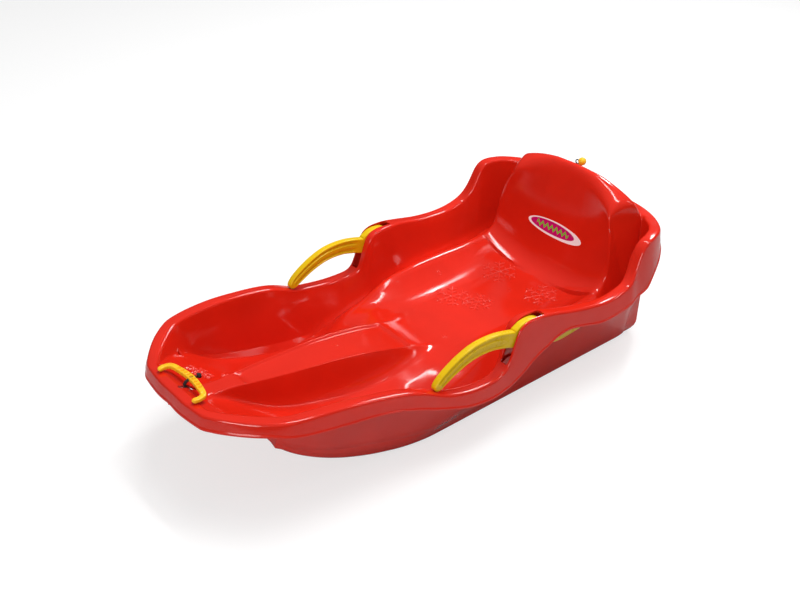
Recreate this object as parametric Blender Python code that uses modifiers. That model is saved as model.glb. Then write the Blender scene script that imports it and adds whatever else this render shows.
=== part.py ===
"""Child's plastic bobsled: a deep tub with a hump and a backrest over a smooth hull, two brake levers
in the hand-holds, and a tow handle on a cord that runs under the tub to a stop ball behind the backrest.

Stations are metres along the sled from the hand-holds, negative towards the front. The front
faces -Y, +X is the rider's left and the runners stand on z = 0."""

import math

import bmesh
import bpy
from mathutils import Vector

# Mouldings
TUB_WALL = 0.003
HULL_WALL = 0.0025
SEAT_GAP = 0.0003  # what two touching pieces leave between them
RIM_EDGE = 0.003
SKIRT_FLARE = 0.004

# Rim: half width, height and lower edge of the turned-down skirt, by station
RIM_FRONT = -0.380
RIM_REAR = 0.415
RIM_NOSE = 0.018  # how far the rim's middle lies ahead of the tub's first row
RIM_TAIL = 0.043  # and how far behind the tub's last row
# A longer front moves all that lies ahead of the leg wells, and a longer rear all that lies behind the seat
WELL_STRETCH = (-0.070, -0.302)
SEAT_STRETCH = (0.108, 0.240)
RIM_X = (
    (-0.362, 0.0753), (-0.342, 0.0985), (-0.316, 0.128), (-0.302, 0.143), (-0.288, 0.1525),
    (-0.270, 0.159), (-0.225, 0.166), (-0.146, 0.174), (-0.072, 0.183), (-0.028, 0.188),
    (0.005, 0.188), (0.040, 0.1845), (0.058, 0.182), (0.108, 0.184), (0.185, 0.188), (0.250, 0.193),
    (0.287, 0.193), (0.311, 0.187), (0.331, 0.186), (0.345, 0.1835), (0.358, 0.175), (0.372, 0.165),
)
RIM_AHEAD = (  # how far the rim lies ahead of the tub's floor edge at the same station
    (-0.362, 0.012), (-0.342, 0.0145), (-0.316, 0.017), (-0.302, 0.016), (-0.288, 0.013),
    (-0.270, 0.004), (-0.250, 0.0), (0.345, 0.0), (0.358, -0.008), (0.372, -0.007),
)
RIM_Z = (
    (-0.362, 0.160), (-0.270, 0.159), (-0.225, 0.156), (-0.187, 0.150), (-0.146, 0.142),
    (-0.115, 0.133), (-0.093, 0.123), (-0.072, 0.111), (-0.054, 0.106), (-0.028, 0.100),
    (0.010, 0.096), (0.030, 0.097), (0.045, 0.102), (0.053, 0.116), (0.061, 0.146), (0.069, 0.159),
    (0.088, 0.165), (0.108, 0.164), (0.147, 0.156), (0.185, 0.147), (0.240, 0.140), (0.264, 0.142),
    (0.287, 0.149), (0.299, 0.161), (0.308, 0.178), (0.318, 0.197), (0.331, 0.206), (0.347, 0.208),
    (0.372, 0.207),
)
RIM_WIDTH = (
    (0.020, 0.018), (0.052, 0.023), (0.070, 0.027), (0.105, 0.026), (0.145, 0.019), (0.190, 0.018),
)
SKIRT_Z = (
    (-0.362, 0.140), (-0.310, 0.142), (-0.270, 0.135), (-0.227, 0.130), (-0.183, 0.125),
    (-0.146, 0.117), (-0.118, 0.108), (-0.086, 0.095), (-0.054, 0.084), (-0.021, 0.075),
    (0.016, 0.071), (0.048, 0.072), (0.072, 0.082), (0.094, 0.098), (0.116, 0.110), (0.140, 0.121),
    (0.160, 0.1235), (0.192, 0.117), (0.228, 0.110), (0.261, 0.112), (0.295, 0.118), (0.330, 0.125),
    (0.345, 0.142), (0.358, 0.160), (0.372, 0.172),
)

# Edge of the tub's floor, where its side wall starts
FLOOR_X = (
    (-0.362, 0.060), (-0.342, 0.083), (-0.316, 0.108), (-0.302, 0.119), (-0.288, 0.1275),
    (-0.250, 0.136), (-0.200, 0.140), (-0.140, 0.144), (-0.070, 0.148), (0.000, 0.150),
    (0.050, 0.145), (0.100, 0.145), (0.160, 0.150), (0.300, 0.153), (0.345, 0.152), (0.372, 0.146),
)
FLOOR_Z = (
    (-0.362, 0.157), (-0.342, 0.146), (-0.316, 0.1285), (-0.302, 0.119), (-0.280, 0.1025),
    (-0.238, 0.073), (-0.200, 0.056), (-0.170, 0.046), (-0.130, 0.034), (-0.095, 0.027),
    (-0.070, 0.027), (-0.025, 0.038), (0.034, 0.057), (0.065, 0.071), (0.095, 0.080),
    (0.130, 0.084), (0.220, 0.083), (0.290, 0.083), (0.320, 0.088), (0.372, 0.094),
)

# Hump between the legs: its top edge, the foot of its flank and the panel sunk in its top
HUMP_X = (
    (-0.362, 0.026), (-0.342, 0.014), (-0.310, 0.013), (-0.280, 0.016), (-0.240, 0.022),
    (-0.200, 0.026), (-0.140, 0.031), (-0.070, 0.036), (0.014, 0.041), (0.060, 0.045), (0.285, 0.046),
)
HUMP_Z = (
    (-0.362, 0.158), (-0.352, 0.153), (-0.342, 0.144), (-0.325, 0.138), (-0.280, 0.133),
    (-0.240, 0.129), (-0.200, 0.1245), (-0.140, 0.1185), (-0.085, 0.109), (-0.040, 0.098),
    (0.000, 0.086), (0.022, 0.078), (0.060, 0.0715), (0.150, 0.069), (0.200, 0.0695), (0.285, 0.0775),
)
FLANK_FOOT_X = (
    (-0.362, 0.034), (-0.342, 0.020), (-0.310, 0.020), (-0.280, 0.025), (-0.240, 0.034),
    (-0.200, 0.042), (-0.140, 0.050), (-0.070, 0.057), (-0.010, 0.059), (0.060, 0.062), (0.285, 0.064),
)
FLANK_FOOT_Z = (
    (-0.362, 0.158), (-0.352, 0.153), (-0.342, 0.144), (-0.325, 0.132), (-0.310, 0.123),
    (-0.280, 0.1045), (-0.240, 0.085), (-0.200, 0.0755), (-0.140, 0.0665), (-0.070, 0.065),
    (-0.030, 0.0695), (0.014, 0.0755), (0.060, 0.0715), (0.150, 0.069), (0.200, 0.070), (0.285, 0.078),
)
# Raised edge of the seat: how far its crest stands above the floor's own curve, by station
BOLSTER_RISE = (
    (-0.060, 0.0), (-0.035, 0.010), (-0.010, 0.018), (0.020, 0.0205), (0.049, 0.026), (0.080, 0.0272),
    (0.110, 0.0245), (0.140, 0.0237), (0.200, 0.0225), (0.240, 0.0205), (0.271, 0.0215),
    (0.285, 0.0235),
)
BOLSTER_SHARES = (0.14, 0.42, 1.0, 0.45)
FLANK_SHARES = (0.45, 0.72)  # where the hump's flank bends, as shares of its width and of its height
PANEL_SINK = 0.002
PANEL_EDGE = 0.005
PANEL_STATIONS = (-0.278, -0.010)

# Backrest: centre line and the edge of its side wing, from the seat up and over the crest
SEAT_END = 0.285
BACK_END = 0.372
CREST_Z = 0.256
BACK_Y = (
    (0.285, 0.285), (0.296, 0.299), (0.306, 0.310), (0.316, 0.318), (0.326, 0.326), (0.336, 0.336),
    (0.345, 0.346), (0.352, 0.3535), (0.358, 0.3595), (0.364, 0.3665), (0.368, 0.3765), (0.372, 0.399),
)
BACK_Z = (
    (0.285, 0.077), (0.296, 0.084), (0.306, 0.097), (0.316, 0.119), (0.326, 0.149), (0.336, 0.187),
    (0.345, 0.220), (0.352, CREST_Z - 0.0125), (0.358, CREST_Z - 0.0015), (0.364, CREST_Z),
    (0.368, CREST_Z - 0.009), (0.372, 0.206),
)
WING_X = (
    (0.285, 0.1263), (0.296, 0.1262), (0.306, 0.1255), (0.316, 0.1245), (0.326, 0.1225),
    (0.336, 0.118), (0.345, 0.1115), (0.352, 0.1045), (0.358, 0.110), (0.364, 0.118),
    (0.368, 0.1215), (0.372, 0.124),
)
WING_Y = (
    (0.285, 0.285), (0.296, 0.2965), (0.306, 0.3065), (0.316, 0.3135), (0.326, 0.317), (0.336, 0.320),
    (0.345, 0.3235), (0.352, 0.329), (0.358, 0.348), (0.364, 0.367), (0.368, 0.375), (0.372, 0.384),
)
WING_Z = (
    (0.285, 0.1055), (0.296, 0.1095), (0.306, 0.118), (0.316, 0.134), (0.326, 0.160), (0.336, 0.184),
    (0.345, 0.204), (0.352, 0.221), (0.358, 0.2325), (0.364, 0.2335), (0.368, 0.2235), (0.372, 0.206),
)
TRENCH_X = 0.133
TRENCH_END_Y = 0.373
FLOOR_END_Y = 0.365

# Rows along the tub, as (first station, last station, rows)
ROW_RUNS = (
    (-0.362, -0.302, 5), (-0.302, -0.070, 9), (-0.070, 0.030, 4), (0.030, 0.069, 6),
    (0.069, 0.108, 2), (0.108, 0.240, 4), (0.240, 0.285, 2),
)
FLOOR_FRACTIONS = (0.24, 0.47, 0.70, 0.86)

# Hull: half width of its bottom by station, and how it meets the tub
HULL_ARC_RADIUS = 0.385
HULL_ARC_START = -0.040
HULL_FRONT = -0.300
HULL_X = (
    (-0.300, 0.127), (-0.284, 0.131), (-0.260, 0.132), (-0.200, 0.132), (-0.140, 0.134),
    (-0.100, 0.137), (-0.050, 0.139), (0.340, 0.139), (0.355, 0.138), (0.366, 0.134),
)
HULL_RUNS = (
    (HULL_FRONT, -0.248, 6), (-0.248, -0.040, 6), (-0.040, 0.060, 5), (0.060, 0.240, 5),
    (0.240, 0.340, 6), (0.340, 0.366, 2),
)
HULL_LAP = (  # share of the tub wall's height that the hull's wall reaches up to
    (-0.298, 0.0), (-0.290, 0.18), (-0.275, 0.36), (-0.248, 0.52), (-0.210, 0.60), (-0.120, 0.60),
    (-0.060, 0.45), (0.0, 0.16), (0.100, 0.14), (0.160, 0.26), (0.290, 0.26), (0.330, 0.95),
)
HULL_UNDER_RIM = 0.009  # how far inside the rim's edge the hull's rear wall ends
HULL_TOP_GAP = 0.004
HULL_FRONT_FLARE = 0.002
HULL_LAP_GAP = 0.0016
HULL_CORNER = 0.010
HULL_REAR_CORNER = 0.024
HULL_REAR_BOW = 0.009
CHANNEL_DEPTH = 0.005
CHANNEL_START = (-0.220, -0.060)
HULL_COLUMNS = (0.0, 0.020, 0.042, 0.052, 0.085)
CHANNEL_COLUMNS = 3
WALL_SHARES = (0.25, 0.5, 0.75, 1.0)
FRONT_WALL_SHARES = (0.1, 0.3, 0.48, 0.66, 0.84, 1.0)
FRONT_FLARE_SHARES = (0.6, 1.0, 1.0, 1.0, 1.0, 1.0)
HULL_LAST_COLUMN = 0.89  # share of the bottom's half width
CHANNEL_CLEAR_X = 0.025

# Brake lever, its pin and the slot that it works in
LEVER_X = 0.1730
PIVOT_STATION = 0.085
PIVOT_Z = 0.137
PIN_RADIUS = 0.003
PIN_CLEARANCE = 0.0003
ARM_WIDTH = 0.0115
CLAW_WIDTH = 0.008
GRIP_WIDTH = 0.0145
SLOT_CLEARANCE = 0.00095  # on each side of the lever's arm
SLOT_WIDTH = ARM_WIDTH + 2 * SLOT_CLEARANCE
SLOT_FRONT = 0.046
SLOT_REAR = 0.1165
SLOT_BOTTOM = 0.104
GROOVE_DEPTH = 0.0014
# Edges of the groove above the lever's middle line and of the one below it, as shares of the half height
GROOVE_EDGES = (0.10, 0.22, 0.58, 0.72)
CHAMFER_SHARE = 0.25
LEVER_LEAN = 0.018  # how far the grip leans inwards for each metre ahead of the pin
# The lever's middle line from its tip to its claw, as (station, z, half height, width)
LEVER_LINE = (
    (-0.0808, 0.1180, 0.0026, 0.0085), (-0.0788, 0.1193, 0.0046, 0.0130),
    (-0.0745, 0.1222, 0.0063, GRIP_WIDTH), (-0.0653, 0.1290, 0.0077, GRIP_WIDTH),
    (-0.0507, 0.1374, 0.0083, GRIP_WIDTH), (-0.0345, 0.1447, 0.0090, GRIP_WIDTH),
    (-0.0148, 0.1505, 0.0098, GRIP_WIDTH), (0.0050, 0.1522, 0.0102, GRIP_WIDTH),
    (0.0248, 0.1508, 0.0106, GRIP_WIDTH), (0.0420, 0.1469, 0.0115, GRIP_WIDTH),
    (0.0530, 0.1437, 0.0120, 0.0135), (0.0620, 0.1412, 0.0128, ARM_WIDTH),
    (0.0710, 0.1428, 0.0160, ARM_WIDTH), (0.0820, 0.1443, 0.0187, ARM_WIDTH),
    (0.0970, 0.1425, 0.0190, ARM_WIDTH), (0.1110, 0.1325, 0.0150, ARM_WIDTH),
    (0.1270, 0.1205, 0.0125, ARM_WIDTH), (0.1500, 0.1125, 0.0112, ARM_WIDTH),
    (0.1780, 0.1112, 0.0102, 0.0100), (0.2050, 0.1102, 0.0080, CLAW_WIDTH),
    (0.2300, 0.1075, 0.0075, CLAW_WIDTH), (0.2520, 0.1060, 0.0072, CLAW_WIDTH),
    (0.2640, 0.1030, 0.0068, CLAW_WIDTH), (0.2710, 0.0965, 0.0055, CLAW_WIDTH),
    (0.2735, 0.0900, 0.0030, CLAW_WIDTH),
)
LEVER_CHAMFER = 0.0018
BOSS_RADIUS = 0.007
BOSS_SINK = 0.0015  # how far a boss reaches into the wall that carries it
BOSS_CLEARANCE = 0.0004
SLOT_TOP = 0.185

# Tow handle, its cord and what holds the cord
HANDLE_Z = 0.1645
HANDLE_HEIGHT = 0.0080
HANDLE_WIDTH = 0.0110
HANDLE_LINE = (
    (0.0430, -0.3720), (0.0445, -0.3620), (0.0400, -0.3535), (0.0200, -0.3490), (0.0, -0.3475),
)
CORD_RADIUS = 0.0022
CORD_HOLE = 0.0028
KNOT_RADIUS = 0.0050
BALL_RADIUS = 0.0065
BALL_GAP = 0.0005  # between the ball and the slope behind the crest
BALL_PERCH = (0.364, 0.368, 0.55)  # the rows that it lies between, and its share of the way down
KEYHOLE_STATIONS = (-0.3680, -0.3485)
KEYHOLE_WIDTH = 0.0056
KEYHOLE_EYE = 0.0066
# The cord's middle line: the lead from the knot through the keyhole, then its run under the tub
LEAD_LINE = (
    (-0.3405, 0.1640), (-0.3520, 0.1640), (-0.3560, 0.1628), (-0.3582, 0.1595), (-0.3570, 0.1560),
    (-0.3540, 0.1508), (-0.3380, 0.1231),
)
CORD_LINE = (
    (-0.3372, 0.1217), (-0.3280, 0.1130), (-0.3100, 0.1110), (-0.2850, 0.1120), (-0.2500, 0.1000),
    (-0.2000, 0.0700), (-0.1500, 0.0430), (-0.1000, 0.0240), (-0.0500, 0.0135), (0.0, 0.0106),
    (0.1000, 0.0106), (0.2000, 0.0106), (0.3000, 0.0106), (0.3450, 0.0125), (0.3700, 0.0240),
    (0.3830, 0.0500), (0.3870, 0.1000), (0.3830, 0.1600), (0.3755, CREST_Z - 0.0410),
    (0.3685, CREST_Z - 0.0175), (0.3693, CREST_Z - 0.0092),
)
CORD_STEP = 0.011
LEAD_STEP = 0.004
KNOT_SQUASH = 0.8
HANDLE_STEP = 0.007
HANDLE_SIDES = 10
HANDLE_END_SIZES = (0.55, 0.85)
KEYHOLE_REACH = 0.021
CREST_HOLE_REACH = 0.006
RIM_INNER_SHARE = 0.25  # the rim's flat top is never wider than the rest of its wall

MIDDLE = (RIM_FRONT + RIM_REAR) / 2

TUB_RED = (0.80, 0.028, 0.012, 1.0)
BRAKE_YELLOW = (0.82, 0.52, 0.010, 1.0)
HANDLE_YELLOW = (0.95, 0.56, 0.015, 1.0)
STEEL_GREY = (0.55, 0.55, 0.57, 1.0)
CORD_BLACK = (0.015, 0.015, 0.016, 1.0)


def reached(station, stretch):
    """0 before a stretch of stations, 1 past it."""
    start, end = stretch
    return min(1.0, max(0.0, (station - start) / (end - start)))


def place(x, station, z):
    """A point of the sled, from its station."""
    ahead = reached(station, WELL_STRETCH) * (RIM_FRONT + RIM_NOSE - RIM_X[0][0])
    behind = reached(station, SEAT_STRETCH) * (RIM_REAR - RIM_TAIL - BACK_END)
    return Vector((x, station + ahead + behind - MIDDLE, z))


def along(profile, station):
    """The profile's smooth value at a station: a cubic through its points that never overshoots them."""
    if station <= profile[0][0]:
        return profile[0][1]
    if station >= profile[-1][0]:
        return profile[-1][1]
    last = len(profile) - 2
    i = next(k for k in range(last + 1) if station <= profile[k + 1][0])

    def rise(k):
        return (profile[k + 1][1] - profile[k][1]) / (profile[k + 1][0] - profile[k][0])

    def slope(k):
        if k == 0:
            return rise(0)
        if k == last + 1:
            return rise(last)
        before, after = rise(k - 1), rise(k)
        if before * after <= 0:
            return 0.0
        return 2 * before * after / (before + after)

    (s0, v0), (s1, v1) = profile[i], profile[i + 1]
    t = (station - s0) / (s1 - s0)
    bend0 = (1 + 2 * t) * (1 - t) ** 2 * v0 + t * t * (3 - 2 * t) * v1
    bend1 = t * (1 - t) ** 2 * slope(i) + t * t * (t - 1) * slope(i + 1)
    return bend0 + (s1 - s0) * bend1


def mix(a, b, t):
    return a + (b - a) * t


def ease(t):
    """0 to 1, level at both ends."""
    t = min(1.0, max(0.0, t))
    return t * t * (3 - 2 * t)


def hull_height(station):
    """Underside of the hull: flat, then a round sweep up to the front."""
    ahead = max(0.0, HULL_ARC_START - station)
    return HULL_ARC_RADIUS - math.sqrt(HULL_ARC_RADIUS ** 2 - ahead ** 2)


def tub_stations():
    stations = [ROW_RUNS[0][0]]
    for first, last, rows in ROW_RUNS:
        stations += [mix(first, last, (k + 1) / rows) for k in range(rows)]
    return stations + [station for station, _ in BACK_Y[1:]]


def tub_row(station):
    """The tub's inner surface across one half, from the middle to the edge of its floor."""
    edge = place(along(FLOOR_X, station), min(station, SEAT_END), along(FLOOR_Z, station))
    hump_x, hump_z = along(HUMP_X, station), along(HUMP_Z, station)
    foot_x, foot_z = along(FLANK_FOOT_X, station), along(FLANK_FOOT_Z, station)
    on_panel = PANEL_STATIONS[0] < station < PANEL_STATIONS[1]
    panel_z = hump_z - (PANEL_SINK if on_panel else 0.0)
    floor_x = [mix(foot_x, edge.x, t) for t in FLOOR_FRACTIONS]
    bolster = along(BOLSTER_RISE, station)
    floor_z = [
        mix(foot_z, edge.z, ease(t)) + bolster * rise for t, rise in zip(FLOOR_FRACTIONS, BOLSTER_SHARES)
    ]
    row = [(0.0, panel_z), (hump_x - PANEL_EDGE, panel_z), (hump_x, hump_z)]
    across, down = FLANK_SHARES
    row += [(mix(hump_x, foot_x, across), mix(hump_z, foot_z, down)), (foot_x, foot_z)]
    row = [place(x, station, z) for x, z in row + list(zip(floor_x, floor_z))] + [edge]
    if station <= SEAT_END:
        return row
    return back_row(station, row)


def back_row(station, flat):
    """A row up the backrest: a shallow arc from its centre line to the wing, then down to the trench."""
    wing_at = len(flat) - 3
    wing = place(along(WING_X, station), along(WING_Y, station), along(WING_Z, station))
    centre = place(0.0, along(BACK_Y, station), along(BACK_Z, station))
    row = []
    for point in flat[:wing_at]:
        share = point.x / flat[wing_at].x
        arc = share ** 2.4
        row.append(Vector((wing.x * share, mix(centre.y, wing.y, arc), mix(centre.z, wing.z, arc))))
    done = (station - SEAT_END) / (BACK_END - SEAT_END)
    edge_x, edge_z = along(FLOOR_X, station), along(FLOOR_Z, station)
    trench_x = mix(flat[-2].x, TRENCH_X, min(1.0, 4 * done))
    trench = place(trench_x, mix(SEAT_END, TRENCH_END_Y, done), edge_z)
    edge = place(edge_x, mix(SEAT_END, FLOOR_END_Y, done), edge_z)
    return row + [wing, trench, edge]


def rim_side(station):
    """Outer edge of the rim along the side."""
    return place(along(RIM_X, station), station - along(RIM_AHEAD, station), along(RIM_Z, station))


def rim_end(share, middle, corner_station, power):
    """Outer edge of the rim across an end, from the middle (share 0) to the corner (share 1)."""
    corner = rim_side(corner_station)
    return Vector((corner.x * share, mix(middle - MIDDLE, corner.y, share ** power), corner.z))


def rim_front(share):
    return rim_end(share, RIM_FRONT, RIM_X[0][0], 2.0)


def rim_rear(share):
    return rim_end(share, RIM_REAR, BACK_END, 4.0)


def tub_boundary(grid, stations):
    """The floor's edge from the middle of the front round one side: (row, column), rim point, station."""
    last, columns = len(grid) - 1, len(grid[0]) - 1
    shares = [c / columns for c in range(columns)]
    front = [((0, c), rim_front(share), stations[0]) for c, share in enumerate(shares)]
    side = [((r, columns), rim_side(station), station) for r, station in enumerate(stations)]
    rear = [((last, c), rim_rear(share), stations[-1]) for c, share in enumerate(shares)]
    return front + side + rear[::-1]


def wall_section(floor, rim, station):
    """From the floor's edge up the wall, over the rim and down the skirt."""
    out = Vector((rim.x - floor.x, rim.y - floor.y, 0.0))
    run = out.length
    out.normalize()
    inner = max(run - along(RIM_WIDTH, station), RIM_INNER_SHARE * run)
    skirt_z = along(SKIRT_Z, station)
    height = rim.z - floor.z
    steps = [
        (0.22 * inner, floor.z + 0.10 * height), (0.45 * inner, floor.z + 0.36 * height),
        (inner - RIM_EDGE * 0.5, rim.z - min(RIM_EDGE, 0.3 * height)), (inner + RIM_EDGE, rim.z),
        (run - RIM_EDGE, rim.z), (run, rim.z - RIM_EDGE), (run + SKIRT_FLARE, skirt_z),
    ]
    return [Vector((floor.x + out.x * d, floor.y + out.y * d, z)) for d, z in steps]


def tub_surface():
    """Inner side of one half of the tub: its rows, and the sections of its wall all round."""
    stations = tub_stations()
    grid = [tub_row(station) for station in stations]
    loop = tub_boundary(grid, stations)
    sections = [wall_section(grid[r][c], rim, station) for (r, c), rim, station in loop]
    for section in (sections[0], sections[-1]):
        for point in section:
            point.x = 0.0
    return grid, loop, sections


def new_collection(name):
    collection = bpy.data.collections.new(name)
    bpy.context.scene.collection.children.link(collection)
    return collection


def material(name, color, roughness, metallic=0.0):
    made = bpy.data.materials.new(name)
    made.use_nodes = True
    shader = made.node_tree.nodes["Principled BSDF"]
    shader.inputs["Base Color"].default_value = color
    shader.inputs["Roughness"].default_value = roughness
    shader.inputs["Metallic"].default_value = metallic
    return made


def add_object(name, bm, collection, finish=None, origin=None):
    """A named object from a bmesh, with its origin where its joint or seat is."""
    bmesh.ops.recalc_face_normals(bm, faces=bm.faces)
    if origin is not None:
        bmesh.ops.translate(bm, verts=bm.verts, vec=-origin)
    mesh = bpy.data.meshes.new(name)
    bm.to_mesh(mesh)
    bm.free()
    if finish is not None:
        mesh.materials.append(finish)
    mesh.shade_smooth()
    mesh.set_sharp_from_angle(angle=math.radians(40))
    obj = bpy.data.objects.new(name, mesh)
    if origin is not None:
        obj.location = origin
    collection.objects.link(obj)
    return obj


def sheet(name, bm, wall, collection, finish):
    """A moulded sheet: half of its outer surface, mirrored and given its wall."""
    for face in bm.faces:
        face.smooth = True
    mesh = bpy.data.meshes.new(name)
    bm.to_mesh(mesh)
    bm.free()
    mesh.materials.append(finish)
    obj = bpy.data.objects.new(name, mesh)
    collection.objects.link(obj)
    mirror = obj.modifiers.new("Both sides", "MIRROR")
    mirror.use_clip = True
    mirror.merge_threshold = 0.0001
    solid = obj.modifiers.new("Wall", "SOLIDIFY")
    solid.thickness = wall
    solid.offset = -1.0
    return obj


def cut(obj, cutter, operation="DIFFERENCE"):
    boolean = obj.modifiers.new(f"{operation.title()} {cutter.name}", "BOOLEAN")
    boolean.operation = operation
    boolean.solver = "EXACT"
    boolean.object = cutter


def as_cutter(obj):
    obj.hide_render = True
    obj.display_type = "WIRE"
    return obj


def box(name, low, high, collection):
    """A box between two corners."""
    bm = bmesh.new()
    bmesh.ops.create_cube(bm, size=1.0)
    bmesh.ops.scale(bm, verts=bm.verts, vec=high - low)
    bmesh.ops.translate(bm, verts=bm.verts, vec=(low + high) / 2)
    return add_object(name, bm, collection)


def rod(bm, start, end, radius, sides):
    """A solid cylinder from one point to another, added to a bmesh."""
    axis = end - start
    turn = axis.to_track_quat("Z", "Y").to_matrix().to_4x4()
    made = bmesh.ops.create_cone(
        bm, cap_ends=True, segments=sides, radius1=radius, radius2=radius, depth=axis.length
    )
    turn.translation = (start + end) / 2
    bmesh.ops.transform(bm, matrix=turn, verts=made["verts"])


def loft(rings):
    """A closed bmesh through rings of as many points each, capped at both ends."""
    bm = bmesh.new()
    verts = [[bm.verts.new(point) for point in ring] for ring in rings]
    for ring, following in zip(verts, verts[1:]):
        for k in range(len(ring)):
            after = (k + 1) % len(ring)
            bm.faces.new((ring[k], ring[after], following[after], following[k]))
    bm.faces.new(verts[0][::-1])
    bm.faces.new(verts[-1])
    return bm


def rounded(points, step):
    """Evenly spaced points on a smooth curve through the given ones."""
    ends = [2 * points[0] - points[1]] + list(points) + [2 * points[-1] - points[-2]]
    fine = []
    for a, b, c, d in zip(ends, ends[1:], ends[2:], ends[3:]):
        count = max(2, math.ceil((c - b).length / step))
        for k in range(count):
            t = k / count
            bend = (2 * b + (c - a) * t + (2 * a - 5 * b + 4 * c - d) * t * t
                    + (3 * b - a - 3 * c + d) * t ** 3)
            fine.append(bend / 2)
    return fine + [points[-1]]


def side_name(name, side):
    return f"{name}_{'left' if side > 0 else 'right'}"


def build_seat_shell(parts, finish):
    grid, loop, sections = tub_surface()
    bm = bmesh.new()
    verts = [[bm.verts.new(point) for point in row] for row in grid]
    for row, following in zip(verts, verts[1:]):
        for c in range(len(row) - 1):
            bm.faces.new((row[c], row[c + 1], following[c + 1], following[c]))
    rings = [[verts[r][c] for (r, c), _, _ in loop]]
    for level in range(len(sections[0])):
        rings.append([bm.verts.new(section[level]) for section in sections])
    for ring, outer in zip(rings, rings[1:]):
        for k in range(len(ring) - 1):
            bm.faces.new((ring[k + 1], ring[k], outer[k], outer[k + 1]))
    return sheet("seat_shell", bm, TUB_WALL, parts, finish)


def lever_bosses(cutters):
    """Four short bosses inside the rim, two on each side, that hold the brake pins."""
    bm = bmesh.new()
    floor, rim = tub_row(PIVOT_STATION)[-1], rim_side(PIVOT_STATION)
    wall = wall_section(floor, rim, PIVOT_STATION)
    height = (PIVOT_Z - wall[1].z) / (wall[2].z - wall[1].z)
    inner_wall = mix(wall[1].x, wall[2].x, height) + TUB_WALL
    down_skirt = (wall[5].z - PIVOT_Z) / (wall[5].z - wall[6].z)
    outer_wall = mix(wall[5].x, wall[6].x, down_skirt) - TUB_WALL
    lever_side = ARM_WIDTH / 2 + BOSS_CLEARANCE
    inner = (inner_wall - BOSS_SINK, LEVER_X - lever_side)
    outer = (LEVER_X + lever_side, outer_wall + BOSS_SINK)
    for side in (1, -1):
        for start, end in (inner, outer):
            ends = [place(side * x, PIVOT_STATION, PIVOT_Z) for x in (start, end)]
            rod(bm, *ends, BOSS_RADIUS, 16)
    bosses = as_cutter(add_object("brake_bosses", bm, cutters))
    return bosses, inner_wall, outer_wall


def brake_bores(cutters, inner_wall, outer_wall):
    bm = bmesh.new()
    for side in (1, -1):
        ends = [place(side * x, PIVOT_STATION, PIVOT_Z) for x in (inner_wall, outer_wall)]
        rod(bm, *ends, PIN_RADIUS + PIN_CLEARANCE, 16)
    return as_cutter(add_object("brake_bores", bm, cutters))


def brake_slots(cutters):
    bm = bmesh.new()
    for side in (1, -1):
        low = place(side * LEVER_X - SLOT_WIDTH / 2, SLOT_FRONT, SLOT_BOTTOM)
        high = place(side * LEVER_X + SLOT_WIDTH / 2, SLOT_REAR, SLOT_TOP)
        made = bmesh.ops.create_cube(bm, size=1.0)
        bmesh.ops.scale(bm, verts=made["verts"], vec=high - low)
        bmesh.ops.translate(bm, verts=made["verts"], vec=(low + high) / 2)
    return as_cutter(add_object("brake_slots", bm, cutters))


def keyhole(cutters):
    """The slot and the eye that the tow cord passes through."""
    front, eye = KEYHOLE_STATIONS
    low, high = HANDLE_Z - KEYHOLE_REACH, HANDLE_Z + KEYHOLE_REACH
    corners = place(-KEYHOLE_WIDTH / 2, front, low), place(KEYHOLE_WIDTH / 2, eye, high)
    slot = box("keyhole_slot", *corners, cutters)
    bm = bmesh.new()
    rod(bm, place(0, eye, low), place(0, eye, high), KEYHOLE_EYE, 16)
    return as_cutter(slot), as_cutter(add_object("keyhole_eye", bm, cutters))


def ball_perch():
    """Where the cord comes out on the slope behind the crest, and its direction there."""
    upper, lower, share = BALL_PERCH
    top, foot = [place(0, along(BACK_Y, row), along(BACK_Z, row)) for row in (upper, lower)]
    slope = foot - top
    return top.lerp(foot, share), Vector((0, -slope.z, slope.y)).normalized()


def crest_hole(cutters):
    bm = bmesh.new()
    perch, out = ball_perch()
    rod(bm, perch - out * CREST_HOLE_REACH, perch + out * CREST_HOLE_REACH, CORD_HOLE, 12)
    return as_cutter(add_object("crest_hole", bm, cutters))


def hull_stations():
    stations = [HULL_RUNS[0][0]]
    for first, last, rows in HULL_RUNS:
        stations += [mix(first, last, (k + 1) / rows) for k in range(rows)]
    return stations


def floor_underside(x, station):
    """Underside of the tub's floor round a point, clear of the hull by the seat gap."""
    heights = []
    for row in (tub_row(station), tub_row(station + 2 * TUB_WALL)):
        for near in (x - TUB_WALL, x, x + TUB_WALL):
            heights += [
                mix(a.z, b.z, (near - a.x) / (b.x - a.x))
                for a, b in zip(row, row[1:])
                if a.x <= near <= b.x
            ]
    return min(heights) - 1.2 * TUB_WALL - HULL_WALL


def tub_row_beside(station):
    """The tub's own station whose floor edge lies here: up the backrest its rows lie closer together."""
    if station <= SEAT_END:
        return station
    return mix(SEAT_END, BACK_END, (station - SEAT_END) / (FLOOR_END_Y - SEAT_END))


def lapped_wall(station, share):
    """Outer side of the hull where it laps the tub's side wall, at a share of that wall's height."""
    row_station = tub_row_beside(station)
    floor = tub_row(row_station)[-1]
    rim = rim_side(row_station)
    section = [floor] + wall_section(floor, rim, row_station)[:3]
    out = Vector((rim.x - floor.x, rim.y - floor.y, 0.0)).normalized()
    offset = TUB_WALL + HULL_WALL + HULL_LAP_GAP
    if share <= 0:
        return floor + (out - Vector((0, 0, 1))) * offset
    z = mix(floor.z, section[-1].z, share)
    spans = list(zip(section, section[1:]))
    low, high = next((span for span in spans if span[1].z >= z), spans[-1])
    normal = (out * (high.z - low.z) - Vector((0, 0, 1)) * (high - low).dot(out)).normalized()
    return low.lerp(high, (z - low.z) / (high.z - low.z)) + normal * offset


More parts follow.
